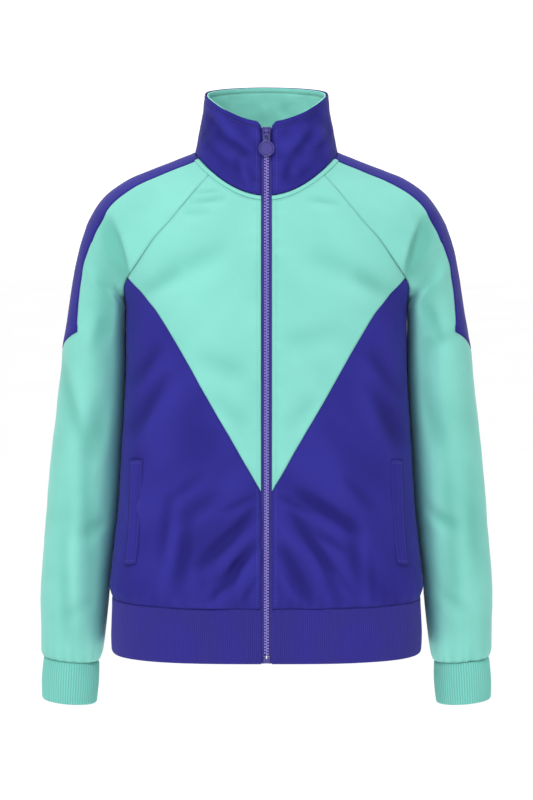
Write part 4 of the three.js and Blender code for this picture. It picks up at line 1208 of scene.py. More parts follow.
ARM_FRONT_FOLDS = (
    Fold(0, (189, -80), (182, -300), 13, 2.4), Fold(-1, (186, -262), (206, -352), 11, 2.0),
    Fold(1, (184, -250), (200, -340), 11, 1.8), Fold(0, (222, -330), (236, -470), 14, 1.2),
    Fold(1, (186, -164), (206, -212), 7, 1.8), Fold(1, (184, -214), (226, -196), 8, 1.3),
    Fold(-1, (184, -178), (204, -226), 8, 1.6), Fold(1, (176, -402), (226, -430), 8, 2.4),
    Fold(-1, (178, -418), (222, -440), 9, 1.8), Fold(1, (204, -296), (222, -544), 9, 1.6),
    Fold(-1, (210, -286), (206, -548), 9, 1.9, -0.5), Fold(-1, (244, -222), (216, -330), 8, 2.0),
    Fold(-1, (240, -430), (232, -570), 8, 1.4), Fold(1, (240, -350), (250, -500), 9, 1.4),
    Fold(1, (196, -500), (240, -530), 8, 1.2), Fold(-1, (200, -512), (242, -536), 8, 1.1),
)
ARM_BACK_FOLDS = (
    Fold(0, (186, -150), (222, -196), 9, 2.2), Fold(1, (182, -330), (240, -366), 10, 2.4),
    Fold(-1, (184, -352), (238, -382), 10, 2.4), Fold(0, (186, -392), (240, -410), 9, 2.0),
    Fold(1, (214, -420), (226, -560), 9, 1.5), Fold(-1, (206, -430), (214, -565), 9, 1.5),
    Fold(0, (196, -220), (236, -262), 10, 1.5),
)


@dataclass
class Sleeves:
    """Both raglan sleeves with the stripe set in along the shoulder."""

    wardrobe: Wardrobe
    sleeve_cut: Cut = Cut(0.33, 0.64, 0.142)
    stripe_cut: Cut = Cut(0.114, 0.31, 0.0275)
    relaxed: int = 24
    mesh_size: float = 3.3
    front_columns: int = 7
    stripe_columns: int = 3
    shoulder: tuple[tuple[float, float, float], ...] = (
        (83, 0, 8), (116, 3, -5), (139, 5, -14), (160, 7, -23), (187, 9, -42),
        (206.5, 11, -70), (217.6, 13, -98), (226, 16, -136),
    )
    # along, run on from the seam, run on from the shoulder line
    rings: tuple[tuple[float, float, float], ...] = (
        (0, 12, 18), (0.3, 28, 42), (0.6, 34, 58), (0.8, 36, 64), (1, 75, 75),
    )
    # height, inner side, lift of the outer side, middle, half depth
    arm: tuple[tuple[float, ...], ...] = (
        (-593.5, 198.5, 5.2, 24, 33.5), (-581.5, 193.8, 5.3, 24.5, 39),
        (-550, 189.5, 5.6, 25.5, 44),
        (-519, 186.2, 6, 27, 46.5), (-490, 184, 6.5, 28, 48), (-454, 178.9, 7, 29.5, 49.5),
        (-398, 172.9, 8, 30, 51), (-342, 169.5, 9.5, 28.5, 52.5), (-285, 166, 12, 24, 54),
        (-230, 164, 17.5, 17.5, 55.5), (-200, 164.6, 24, 13.5, 56), (-172, 164.1, 36, 9, 56.25),
    )
    outline: tuple[Station, ...] = (
        (-606, 262.8), (-589, 263.3), (-580, 266.6), (-510, 267), (-454, 263), (-398, 258.6),
        (-342, 253), (-285, 246), (-229, 240.5), (-192, 235), (-154, 229), (-136, 226),
    )
    levels: tuple[float, ...] = (
        -172, -187, -203, -221, -241, -265, -297, -338, -382, -425, -468, -511, -553, -582, -593.5,
    )
    neck_rows: int = 4
    chevron_row: int = 17
    chevron_reach: int = 4
    chevron_rise: float = 27.0
    # half the stripe's width by part of the way to its point
    stripe: tuple[Station, ...] = (
        (0, 31), (0.2, 34.5), (0.29, 40), (0.38, 45.5), (0.47, 53.5), (0.56, 57), (0.64, 57),
        (0.706, 53), (0.78, 49.5), (1, 52),
    )
    # height, x, depth of the fold from the stripe's edge to the armpit
    crease: tuple[tuple[float, float, float], ...] = (
        (-142, 160, 0), (-126, 163, 4.5), (-95, 171.5, 7.5), (-72, 179.5, 3), (-58, 184.5, 0),
    )

    def __post_init__(self) -> None:
        """Makes the curves of the sleeve."""
        self.ridge = spline([Vector(point) for point in self.shoulder])
        self.seam_reach, self.ridge_reach = table_curve(self.rings, 1), table_curve(self.rings, 2)
        names = ("inner", "lift", "y", "depth")
        self.curves = {name: table_curve(self.arm, k + 1) for k, name in enumerate(names)}
        self.outer = SmoothCurve(self.outline)
        self.stripe_half = SmoothCurve(self.stripe)
        self.crease_x, self.crease_depth = table_curve(self.crease, 1), table_curve(self.crease, 2)
        self.cache: dict[tuple[float, int], Path] = {}

    def raglan_arc(self, row: float, towards: int) -> Path:
        """One side of an open ring, from its seam to the shoulder line.

        Args:
            row: the ring's number, 0 at the neck and ARMHOLE_STEPS under the arm.
            towards: -1 in front, +1 behind.

        Returns:
            The arc.
        """
        key = (row, towards)
        if key not in self.cache:
            along = row / ARMHOLE_STEPS
            turn, z = FORM.front_armhole(row) if towards < 0 else FORM.back_armhole(row)
            seam, normal = FORM.point(turn, z), FORM.normal(turn, z)
            lean = 0.9 if normal.z > 0 else 0.6
            flow = Vector((lean - towards * normal.z, -0.35 * towards, 0.5))
            flow = (flow - normal * flow.dot(normal)).normalized()
            outwards = Vector((1, -0.08 * towards, 0.22)).normalized()
            start = flow.lerp(outwards, ease(0.25, 0.6, along))
            start = start.lerp(Vector((0, towards, 0)), ease(0.76, 1, along)).normalized()
            ridge = self.ridge.read(along)
            reach = Vector((0, towards * self.ridge_reach(along), 0))
            leave = seam + start * self.seam_reach(along)
            self.cache[key] = bezier(seam, leave, ridge + reach, ridge)
        return self.cache[key]

    def arm_arc(self, z: float, towards: int) -> Path:
        """One side of a closed ring, from its inner side to its outer side."""
        key = (z, towards)
        if key not in self.cache:
            curves = self.curves
            top = z + curves["lift"](z)
            swing = 8 * ease(-230, UNDERARM_Z, z)
            inner = Vector((curves["inner"](z), curves["y"](z) - swing, z))
            outer = Vector((self.outer(top), curves["y"](z) + swing, top))
            reach = Vector((0, towards * 4 * curves["depth"](z) / 3, 0))
            self.cache[key] = bezier(inner, inner + reach, outer + reach, outer)
        return self.cache[key]

    def column_share(self, column: float, share: float) -> float:
        """How far along an arc a column stands, the last three within the stripe."""
        if column <= self.front_columns:
            return column / self.front_columns * (1 - share)
        return 1 - share + (column - self.front_columns) / self.stripe_columns * share

    def read(self, arc: Path, column: float, row: float) -> Vector:
        """The point of an arc at a column of one half."""
        width = self.stripe_half(min(1, row / self.chevron_row))
        return arc.read(self.column_share(column, min(width / arc.length, 0.8)))

    def neck_point(self, column: float, towards: int) -> Vector:
        """The neck seam at a column of one half."""
        start = FORM.front_neck_turn if towards < 0 else FORM.back_neck_turn
        edge = FORM.stripe_neck_turn if towards < 0 else BACK_TURN - FORM.stripe_neck_turn
        if column <= self.front_columns:
            return FORM.neck(mix(start, edge, column / self.front_columns))
        return FORM.neck(mix(edge, SIDE_TURN, (column - self.front_columns) / self.stripe_columns))

    def level(self, row: float) -> float:
        """The height of a closed ring by its number."""
        at = min(max(row - ARMHOLE_STEPS, 0), len(self.levels) - 1.0)
        k = min(int(at), len(self.levels) - 2)
        return mix(self.levels[k], self.levels[k + 1], at - k)

    def point(self, column: float, row: float) -> Vector:
        """A point of the left sleeve before its folds.

        Args:
            column: 0 at the front seam, HALF on the shoulder line, twice that at the back seam.
            row: 0 at the neck, ARMHOLE_STEPS under the arm, 27 at the cuff.

        Returns:
            The point.
        """
        towards = -1 if column <= HALF else 1
        half = column if column <= HALF else 2 * HALF - column
        if row <= ARMHOLE_STEPS:
            point = self.read(self.raglan_arc(row, towards), half, row)
            if row < self.neck_rows:
                first = self.read(self.raglan_arc(0, towards), half, 0)
                share = (1 - row / self.neck_rows) ** 2
                point = point + (self.neck_point(half, towards) - first) * share
            return point
        tent = max(0, 1 - abs(row - self.chevron_row) / self.chevron_reach)
        rise = self.chevron_rise * tent * min(1, (HALF - half) / self.stripe_columns)
        return self.read(self.arm_arc(round(self.level(row) + rise, 4), towards), half, row)

    def fold(self, side: int, point: Vector, normal: Vector, row: float) -> float:
        """The armpit crease, the folds and the gathers above the cuff."""
        x, z = abs(point.x), point.z
        behind = ease(0.0, 0.35, normal.y)
        total = fold_depth(ARM_FRONT_FOLDS, side, x, z) * (1 - behind)
        total += fold_depth(ARM_BACK_FOLDS, side, x, z) * behind
        inner = ease(-0.55, -0.95, normal.x * side)
        total *= 1 - 0.8 * inner
        off = x - self.crease_x(z)
        reach = 9 if off < 0 else 28
        if abs(off) < reach:
            valley = (1 - ease(0, 1, abs(off) / reach)) ** (1.0 if off < 0 else 1.35)
            total += self.crease_depth(z) * valley * ease(0.2, -0.3, normal.y)
        low = max(z - CUFF_SEAM_Z, 0.0)
        angle = math.atan2(normal.x, -normal.y) * 40
        wobble = ripple(Vector((angle, 9, 0)), 26, 4.0 * side)
        gather = 1.3 * math.exp(-low / 15) * ease(0, 4, low)
        total += gather * (math.sin(angle / 2.2 + 3 * wobble) * 0.6 + wobble)
        soft = 0.8 * ripple(point, 55, 2.0 * side) + 0.35 * ripple(point, 20, 9.0)
        total += soft * (1 - 0.7 * inner)
        return total * (1 if row > ARMHOLE_STEPS else ease(0, 1.5, row))

    def build(self) -> None:
        """Builds both sleeves, each split along the stripe's edge."""
        rows: list[float] = []
        last = ARMHOLE_STEPS + len(self.levels) - 1
        for k in range(last):
            length = (self.point(HALF, k + 1) - self.point(HALF, k)).length
            count = max(2, round(length / self.mesh_size))
            rows += [k + s / count for s in range(count)]
        rows.append(float(last))
        half = [7 * k / 44 for k in range(44)] + [7 + 3 * k / 12 for k in range(13)]
        columns = half + [2 * HALF - c for c in reversed(half[:-1])]
        ridge = Path([self.point(HALF, row) for row in rows])
        along = dict(zip(rows, ridge.at))
        for place in Place:
            self.sleeve(place, rows, columns, along)

    def sleeve(self, place: Place, rows: list[float], columns: list[float],
               along: dict[float, float]) -> None:
        """Builds one sleeve.

        Args:
            place: its side.
            rows: ring numbers.
            columns: column numbers.
            along: the length down the shoulder line of each ring.
        """
        side = place.value

        def measure(u: float, v: float) -> tuple[float, float]:
            """Cloth measure: round the ring and down the shoulder line."""
            towards = -1 if u <= HALF else 1
            on_body = v <= ARMHOLE_STEPS
            level = round(self.level(v), 4)
            arc = self.raglan_arc(v, towards) if on_body else self.arm_arc(level, towards)
            width = min(self.stripe_half(min(1, v / self.chevron_row)) / arc.length, 0.8)
            share = self.column_share(u if u <= HALF else 2 * HALF - u, width)
            return towards * arc.length * (1 - share), -along[v]

        def inside(middle: Vector) -> Vector:
            """A point within the arm or, higher up, within the shoulder."""
            return Vector((205 * side if middle.z < -120 else 120 * side, 12, min(middle.z, -120)))

        sheet = Cloth(columns, rows, lambda u, v: mirrored(self.point(u, v), side), measure)
        mark = sheet.mesh.faces.layers.int.new("stripe")
        for face in sheet.mesh.faces:
            u = sum(vert[sheet.share_u] for vert in face.verts) / 4
            v = sum(vert[sheet.share_v] for vert in face.verts) / 4
            face[mark] = int(7 < u < 13 and v < self.chevron_row)
        bmesh.ops.remove_doubles(sheet.mesh, verts=sheet.mesh.verts, dist=WELD)
        sheet.face_out(inside)
        near = [
            vert for vert in sheet.mesh.verts
            if 9.5 < vert[sheet.share_v] < 16.5 and 1.3 < vert[sheet.share_u] < 18.7
        ]
        for _ in range(self.relaxed):
            bmesh.ops.smooth_vert(sheet.mesh, verts=near, factor=0.5,
                                  use_axis_x=True, use_axis_y=True, use_axis_z=True)
        sheet.press(lambda point, normal, u, v: self.fold(side, point, normal, v))
        # Painted light: where the sleeve faces the body and lies in its shade, it counts as 3 mm
        # less deep, so its colour is lighter.
        sheet.tint(lambda dip, normal: dip - 3 * ease(-0.2, -0.8, normal.x * side))
        node = f"sleeve_{place.word}"
        for name, keep, colour, cut in (
            (node, 0, "mint", self.sleeve_cut),
            (f"shoulder_stripe_{place.word}", 1, "purple", self.stripe_cut),
        ):
            part = sheet.part("stripe", keep)
            part.tuck()
            part.piece(name, self.wardrobe[colour], f"{colour}_cloth", cut,
                       ["back", "collar_outer"])
        sheet.mesh.free()


COLLAR_FOLDS = (
    Fold(-1, (74, 60), (44, 26), 5, 1.7), Fold(-1, (66, 38), (14, 4), 6, 2.4),
    Fold(-1, (38, 8), (28, -28), 5, 1.8), Fold(-1, (40, 62), (16, 32), 5, 1.2),
    Fold(-1, (72, 22), (46, -6), 5, 1.4), Fold(-1, (26, 0), (12, -24), 4, 1.0),
    Fold(1, (56, 38), (26, 2), 6, 2.4), Fold(1, (30, 8), (17, -32), 5, 1.9),
    Fold(1, (64, 64), (42, 44), 5, 1.5), Fold(1, (56, -2), (30, -24), 5, 1.5),
    Fold(1, (74, 36), (58, 8), 5, 1.5), Fold(1, (34, 52), (14, 24), 5, 1.1),
)


@dataclass
class Collar:
    """The stand collar: an outer and an inner layer."""

    wardrobe: Wardrobe
    outer_cut: Cut = Cut(0.47, 0.086, 0.034)
    inner_cut: Cut = Cut(0.445, 0.084, 0.031)
    width: float = 71.5
    front: float = 66.0
    back: float = 56.0
    top_z: float = 75.0
    drop: float = 28.0
    rise: float = 7.0
    lift: float = 0.5
    bow: float = 0.1
    notch: float = 6.0
    tall: float = 78.0
    stitched_down: float = 6.5
    inner_edge: float = 12.6
    lower: float = 0.5
    apart: float = 0.9

    def point(self, turn: float, v: float) -> Vector:
        """A point of the outer face, v from the neck seam to the top edge."""
        c = math.cos(turn)
        neck = FORM.neck(turn)
        top = FORM.oval(turn, 0, self.width, self.front if c > 0 else self.back, 2)
        if c > 0:
            full = self.top_z - self.drop * c ** 1.8
            notch = self.notch * (1 - ease(4, 12, abs(top.x)))
        else:
            full, notch = self.top_z + self.rise * abs(c) ** 0.5, 0
        point = neck.lerp(top, v + self.bow * math.sin(math.pi * v))
        point.z = mix(neck.z + self.lift, full - notch, v)
        return point

    def normal(self, turn: float, v: float) -> Vector:
        """The outward direction of the outer face."""
        across = self.point(turn + 0.01, v) - self.point(turn, v)
        low = min(v, 0.97)
        return across.cross(self.point(turn, low + 0.02) - self.point(turn, low)).normalized()

    def layer(self, inset: float, edge_x: float, drop: float) -> PointAt:
        """The face of one layer by its two shares.

        Args:
            inset: how far it lies inside the outer face.
            edge_x: distance of its ends from the middle.
            drop: how much lower its top edge is.

        Returns:
            The point of a share round and a share up.
        """

        def at(u: float, v: float) -> Vector:
            """The point of two shares."""
            start = math.asin(edge_x / mix(FORM.neck_front, self.front, v))
            turn = mix(start, math.tau - start, u)
            return self.point(turn, v) - self.normal(turn, v) * inset - Vector((0, 0, drop * v))

        return at

    def stitch_line(self, v: float, width: float) -> float:
        """How near a share up is to the row of stitches below the top edge."""
        return bell((1 - v) * self.tall - self.stitched_down, width)

    def build(self) -> None:
        """Builds both layers."""
        across, up = steps(170, 0.0035, 3), steps(52, 0.009, 3)

        def shape(outer: bool) -> Callable[..., float]:
            """The press of one layer: soft waves, a line of stitches near the top."""
            sign = 1 if outer else -1

            def depth(point: Vector, normal: Vector, u: float, v: float) -> float:
                """The press at one point."""
                free = math.sin(math.pi * min(max(v, 0), 1)) ** 0.5
                slant = Vector((point.x * 1.6 + point.z * 0.9, point.y, point.z * 0.55))
                total = (1.5 * ripple(slant, 30, 3.0) + 0.8 * ripple(point, 13, 6.0)) * free
                side = 1 if point.x > 0 else -1
                if outer and point.y < 0:
                    total += 0.8 * fold_depth(COLLAR_FOLDS, side, abs(point.x), point.z) * free
                end = math.exp(-min(u, 1 - u) * 470 / 9)
                total += 0.7 * end * ripple(Vector((0, 0, point.z)), 8, 2.0 + (u > 0.5)) * free
                return min(total * sign + 0.5 * self.stitch_line(v, 1.4) * sign, 1.9)

            return depth

        outer = Cloth(across, up, self.layer(0, ZIP_HALF, 0), lambda u, v: (u * 470, v * 80))
        outer.face_out()
        outer.press(shape(True))
        # Painted shade: the outer collar's folds count 1.7 times as deep in the colour and the
        # whole layer a little darker; its row of stitches gets painted shade along the groove.
        outer.tint(lambda dip, normal: dip * 1.7 + 0.5)
        outer.mark(lambda u, v: 1.8 * self.stitch_line(v, 1.3))
        outer.tuck(1.8, 0.25)
        outer.piece("collar_outer", self.wardrobe["purple"], "purple_cloth", self.outer_cut,
                    ["back"])
        self.skin = outer.skin
        inner = Cloth(across, up, self.layer(WALL + self.apart, self.inner_edge, self.lower),
                      lambda u, v: (u * 450, v * self.tall))
        inner.face_out()
        inner.press(lambda point, normal, u, v: max(0.0, 0.8 + shape(False)(point, normal, u, v)))
        # Painted light: the inner layer counts as 2.4 mm less deep, so the inside of the collar,
        # which lies in shade, comes out lighter; its row of stitches gets painted shade along it.
        inner.tint(lambda dip, normal: dip - 2.4)
        inner.mark(lambda u, v: 2.2 * self.stitch_line(v, 1.5))
        inner.piece("collar_inner", self.wardrobe["mint_inside"], "mint_cloth", self.inner_cut,
                    ["collar_outer"])
        self.inner_skin = inner.skin


@dataclass
class NeckBands:
    """The narrow strip along the neck seam on each side."""

    wardrobe: Wardrobe
    sleeves: Sleeves
    width: float = 5.5
    # the part of its length that lies on the upper front
    on_yoke: float = 0.72
    cut: Cut = Cut(0.112, 0.0112, 0.00064, Hold.FOLDED)

    def build(self) -> None:
        """Builds both strips."""
        yoke = Fronts.yoke_patch()
        for place in Place:
            side = place.value

            def at(u: float, v: float, side: int = side) -> Vector:
                """The point of two shares, v down from the neck seam."""
                down = mix(0.6, self.width, v)
                if u <= self.on_yoke:
                    share = u / self.on_yoke
                    edge, below = (FORM.point(*yoke(share, w)) for w in (1.0, 0.98))
                    turn, z = yoke(share, 1.0)
                    normal = FORM.normal(turn, z)
                else:
                    share = (u - self.on_yoke) / (1 - self.on_yoke)
                    column = share * self.sleeves.front_columns
                    edge, below = (self.sleeves.point(column, row) for row in (0.0, 0.25))
                    turn = mix(FORM.front_neck_turn, FORM.stripe_neck_turn, share)
                    normal = FORM.normal(turn, FORM.neck(turn).z)
                way = (below - edge).normalized()
                crown = 0.95 + 0.35 * math.sin(math.pi * v)
                return mirrored(edge + way * down + normal * crown, side)

            cloth = Cloth(steps(60), steps(6), at, lambda u, v: (u * 105, v * 5))
            cloth.face_out(lambda middle: Vector((0, 0, middle.z - 40)))
            cloth.piece(f"neck_band_{place.word}", self.wardrobe["mint"], "mint_cloth", self.cut,
                        [f"front_yoke_{place.word}"], wall=0.7)


@dataclass
class PocketWelts:
    """The welt over each pocket opening."""

    wardrobe: Wardrobe
    cut: Cut = Cut(0.0155, 0.1285, 0.00199)
    top: tuple[Station, Station] = ((142, -340), (156.5, -343))
    bottom: tuple[Station, Station] = ((150.6, -463), (163.5, -466))
    skins: dict[str, BVHTree] = field(default_factory=dict)

    def stations(self) -> Stations:
        """Stations of the welt between its corners."""
        top = [(FORM.turn_at(x, z), z) for x, z in self.top]
        low = [(FORM.turn_at(x, z), z) for x, z in self.bottom]

        def edge(first: Station, second: Station) -> Edge:
            """A straight edge."""
            return lambda t: (mix(first[0], second[0], t), mix(first[1], second[1], t))

        return patch(edge(*low), edge(*top), edge(low[0], top[0]), edge(low[1], top[1]))

    def build(self) -> None:
        """Builds both welts."""
        stations = self.stations()
        for place in Place:
            side = place.value

            def at(u: float, v: float, side: int = side) -> Vector:
                """The point of two shares, moved out from the front."""
                turn, z = stations(u, v)
                point, normal = FORM.point(turn, z), FORM.normal(turn, z)
                under = fold_depth(FRONT_FOLDS, side, abs(point.x), z)
                rise = mix(0.5, 2.6, u) + 0.3 * math.sin(math.pi * u) - under
                return mirrored(point + normal * (rise + 0.5 * ripple(point, 12, 5.0)), side)

            cloth = Cloth(steps(10, 0.05, 2), steps(60, 0.008, 2), at,
                          lambda u, v: (u * 14, v * 126))
            cloth.face_out()
            cloth.tuck(1.2, 0.45)
            # Painted shade: a dark strip along the welt's outer edge for the shadow in the pocket's
            # mouth, a line along its row of stitches, and darker bands at both ends.
            cloth.mark(lambda u, v: 3.0 * bell(1 - u, 0.12) + 1.6 * bell(u - 0.15, 0.08)
                       + 2.0 * bell(min(v, 1 - v), 0.012))
            node = f"pocket_welt_{place.word}"
            cloth.piece(node, self.wardrobe["purple"], "purple_cloth", self.cut,
                        [f"front_lower_{place.word}"], wall=0.9)
            self.skins[node] = cloth.skin


@dataclass
class HemBand:
    """The rib-knit band round the hem."""

    wardrobe: Wardrobe
    pitch: float = 2.4
    rise: float = 0.6
    cut: Cut = Cut(1.0, 0.061, 0.0605, Hold.STRETCHED)

    def build(self) -> None:
        """Builds the band from one side of the zip round to the other."""
        start = FORM.turn_at(ZIP_HALF, HEM_SEAM_Z)
        turns = [mix(start, math.tau - start, k / 720) for k in range(721)]
        length = Path([FORM.section(turn, HEM_SEAM_Z) for turn in turns])
        turn_for = SmoothCurve((at / length.length, turn) for at, turn in zip(length.at, turns))
        ribs = round(length.length / self.pitch)

        def at(u: float, v: float) -> Vector:
            """The point of two shares, v down from the seam."""
            z = mix(HEM_SEAM_Z - 0.45, HEM_BOTTOM_Z, v)
            edge = FORM.turn_at(ZIP_HALF, z)
            turn = min(max(turn_for(u), edge), math.tau - edge)
            here = FORM.section(turn, z)
            beside = FORM.section(turn + 0.01, z) - FORM.section(turn - 0.01, z)
            way = Vector((beside.y, -beside.x, 0)).normalized()
            rib = abs(math.sin(math.pi * u * ribs)) ** 0.8
            roll = -1.0 * (1 - ease(0, 0.035, v)) - 0.9 * ease(0.955, 1, v) ** 2
            wave = 0.7 * ripple(here, 48, 4.0) + 0.25 * ripple(here, 16, 8.0)
            return here + way * (self.rise * (rib - 0.35) + roll + wave * 0.8)

        up = sorted({0.0, 0.012, 0.03, 0.955, 0.975, 0.99, 1.0,
                     *(0.06 + 0.07 * k for k in range(13))})
        across = steps(4 * ribs)
        cloth = Cloth(across, up, at, lambda u, v: (u * ribs * self.pitch, v * 60))
        cloth.face_out()
        cloth.piece("hem_band", self.wardrobe["purple_rib"], "purple_rib", self.cut,
                    ["front_lower_left", "front_lower_right", "back"], wall=1.4)
        self.skin = cloth.skin


@dataclass
class Cuffs:
    """The rib-knit cuff of each sleeve."""

    wardrobe: Wardrobe
    sleeves: Sleeves
    pitch: float = 3.0
    rise: float = 0.6
    length: float = 50.0
    cut: Cut = Cut(0.208, 0.0505, 0.0104, Hold.STRETCHED)

    def build(self) -> None:
        """Builds both cuffs as tubes."""
        z = CUFF_SEAM_Z
        curves = self.sleeves.curves
        lift = curves["lift"](z)
        inner, outer = curves["inner"](z), self.sleeves.outer(z + lift)
        half, depth = (outer - inner) / 2, curves["depth"](z)
        ribs = round(math.pi * (half + depth) / self.pitch)
        for place in Place:
            side = place.value

            def at(u: float, v: float, side: int = side) -> Vector:
                """The point of two shares, v down from the seam."""
                angle = math.tau * u
                grow = 1.2 * math.sin(math.pi * v) - 0.6 * v
                rib = abs(math.sin(math.pi * u * ribs)) ** 0.8
                roll = -1.1 * (1 - ease(0, 0.05, v)) - 0.9 * ease(0.95, 1, v) ** 2
                spot = Vector((math.cos(angle) * 40, math.sin(angle) * 40, v * 50))
                out = self.rise * (rib - 0.35) + roll + 0.5 * ripple(spot, 26, 3.0 * side)
                across = (half + grow + out) * math.cos(angle)
                middle = mix((inner + outer) / 2, (inner + outer) / 2 + 2.6, v)
                y = curves["y"](z) - 1.5 * v + (depth + grow + out) * math.sin(angle)
                down = 0.4 + v * (self.length - 0.3)
                height = z + lift / 2 + across * lift / (outer - inner) - down
                return Vector((side * (middle + across), y, height))

            up = sorted({0.0, 0.015, 0.04, 0.95, 0.975, 1.0,
                         *(0.08 + 0.06 * k for k in range(15))})
            cloth = Cloth(steps(6 * ribs), up, at,
                          lambda u, v: (u * ribs * self.pitch, v * self.length))
            bmesh.ops.remove_doubles(cloth.mesh, verts=cloth.mesh.verts, dist=WELD)
            heart = Vector((side * (inner + outer) / 2, curves["y"](z), 0))
            cloth.face_out(lambda middle, heart=heart: heart + axis_point(middle))
            cloth.piece(f"cuff_{place.word}", self.wardrobe["mint_rib"], "mint_rib", self.cut,
                        [f"sleeve_{place.word}"], wall=1.4)


def collar_height(z: float, collar: Collar) -> float:
    """How far up the collar a height is at the front."""
    low = FORM.neck(0).z
    return min(max((z - low) / (collar.top_z - collar.drop - low), 0), 1)


@dataclass
class Zip:
    """The closed zip: tapes, teeth, slider, pull and the box at its foot."""

    wardrobe: Wardrobe
    collar: Collar
    tape_cut: Cut = Cut(0.0102, 0.612, 0.0053, Hold.STRETCHED)
    tooth_pitch: float = 3.3
    teeth_top: float = 28.6
    teeth_bottom: float = -564.6
    pivot_z: float = 36.5
    stand_off: float = 5.4

    def skin_y(self, x: float, z: float) -> float:
        """The outer face of hem, front or collar near the centre, as its Y."""
        if z <= FORM.neck(0).z:
            return FORM.point(FORM.turn_at(abs(x), z), z).y
        v = collar_height(z, self.collar)
        share = v + self.collar.bow * math.sin(math.pi * v)
        width = mix(FORM.neck_width, self.collar.width, share)
        depth = mix(FORM.neck_front, self.collar.front, share)
        return -depth * math.sqrt(1 - (x / width) ** 2)

    def tapes(self) -> None:
        """Builds the two tapes, each a thin strip behind the edges."""
        for place in Place:
            side = place.value

            def at(u: float, v: float, side: int = side) -> Vector:
                """The point of two shares."""
                x, z = mix(3.2, 11.8, u), mix(HEM_BOTTOM_Z + 0.5, 40, v)
                wave = 0.12 * ripple(Vector((0, x, z)), 9, 2.0 * side)
                return Vector((side * x, self.skin_y(x, z) + 2.15 + wave, z))

            cloth = Cloth(steps(8), steps(170), at, lambda u, v: (u * 8.6, v * 610))
            cloth.face_out()
            cloth.piece(f"zip_tape_{place.word}", self.wardrobe["tape"], "zip_tape", self.tape_cut,
                        ["zip_chain"], wall=0.6)

    def tooth(self) -> bpy.types.Mesh:
        """One tooth: a moulded block with a rounded head, lying across the chain."""
        mesh = bmesh.new()
        bmesh.ops.create_cube(mesh, size=1.0)
        bmesh.ops.scale(mesh, vec=(3.5, 2.2, 2.25), verts=mesh.verts)
        head = [vert for vert in mesh.verts if vert.co.x < 0]
        bmesh.ops.scale(mesh, vec=(1, 0.86, 0.78), verts=head)
        bmesh.ops.bevel(mesh, geom=list(mesh.edges), offset=0.42, segments=2, profile=0.5,
                        affect="EDGES", material=-1)
        return stored("tooth", mesh)

    def teeth(self) -> None:
        """Builds the meshed teeth down the middle as one piece, with the cord they clasp."""
        mesh = bmesh.new()
        block = self.tooth()
        z = self.teeth_top - 1.6
        row = 0
        while z > self.teeth_bottom + 1.2:
            side = 1 if row % 2 else -1
            slope = (self.skin_y(0, z + 2) - self.skin_y(0, z - 2)) / 4
            turn = Matrix.Rotation(-math.atan(slope), 4, "X")
            flip = Matrix.Rotation(0 if side > 0 else math.pi, 4, "Z")
            spot = Matrix.Translation((side * 1.18, self.skin_y(0, z) + 0.85, z))
            add_copy(mesh, block, spot @ turn @ flip)
            z -= self.tooth_pitch / 2
            row += 1
        bpy.data.meshes.remove(block)
        finished("zip_teeth", mesh, self.wardrobe["teeth"], "jacket", ["zip_chain"])
        cords = bmesh.new()
        for side in (-1, 1):
            self.bead(cords, side)
        finished("zip_cords", cords, self.wardrobe["tape"], "jacket")

    def bead(self, mesh: bmesh.types.BMesh, side: int) -> None:
        """Adds the corded edge of a tape, which the teeth clasp.

        Args:
            mesh: the mesh that it is added to.
            side: +1 or -1.
        """
        heights = [mix(self.teeth_bottom, self.teeth_top, k / 150) for k in range(151)]
        ring = bmesh.ops.create_circle(mesh, segments=10, radius=1.0)["verts"]
        bmesh.ops.scale(mesh, vec=(1.62, 0.62, 1), verts=ring)
        foot = (side * 1.68, self.skin_y(2.5, heights[0]) + 2.2, heights[0])
        bmesh.ops.translate(mesh, vec=foot, verts=ring)
        edges = list({edge for vert in ring for edge in vert.link_edges})
        for low, high in zip(heights, heights[1:]):
            grown = bmesh.ops.extrude_edge_only(mesh, edges=edges)["geom"]
            edges = [item for item in grown if isinstance(item, bmesh.types.BMEdge)]
            rise = (0, self.skin_y(2.5, high) - self.skin_y(2.5, low), high - low)
            tops = [item for item in grown if isinstance(item, bmesh.types.BMVert)]
            bmesh.ops.translate(mesh, vec=rise, verts=tops)

    @staticmethod
    def block(mesh: bmesh.types.BMesh, size: Sequence[float], at: Sequence[float],
              taper: float = 1.0, round_off: float = 0.6) -> None:
        """Adds a rounded block, narrower at its foot by a taper.

        Args:
            mesh: the mesh that it is added to.
            size: its three sides.
            at: its middle.
            taper: width of the foot as a share of the top's.
            round_off: radius of its edges.
        """
        verts = bmesh.ops.create_cube(mesh, size=1.0)["verts"]
        bmesh.ops.scale(mesh, vec=size, verts=verts)
        foot = [vert for vert in verts if vert.co.z < 0]
        bmesh.ops.scale(mesh, vec=(taper, 1, 1), verts=foot)
        bmesh.ops.translate(mesh, vec=at, verts=verts)
        edges = list({edge for vert in verts for edge in vert.link_edges})
        bmesh.ops.bevel(mesh, geom=edges, offset=round_off, segments=3, profile=0.5,
                        affect="EDGES", material=-1)

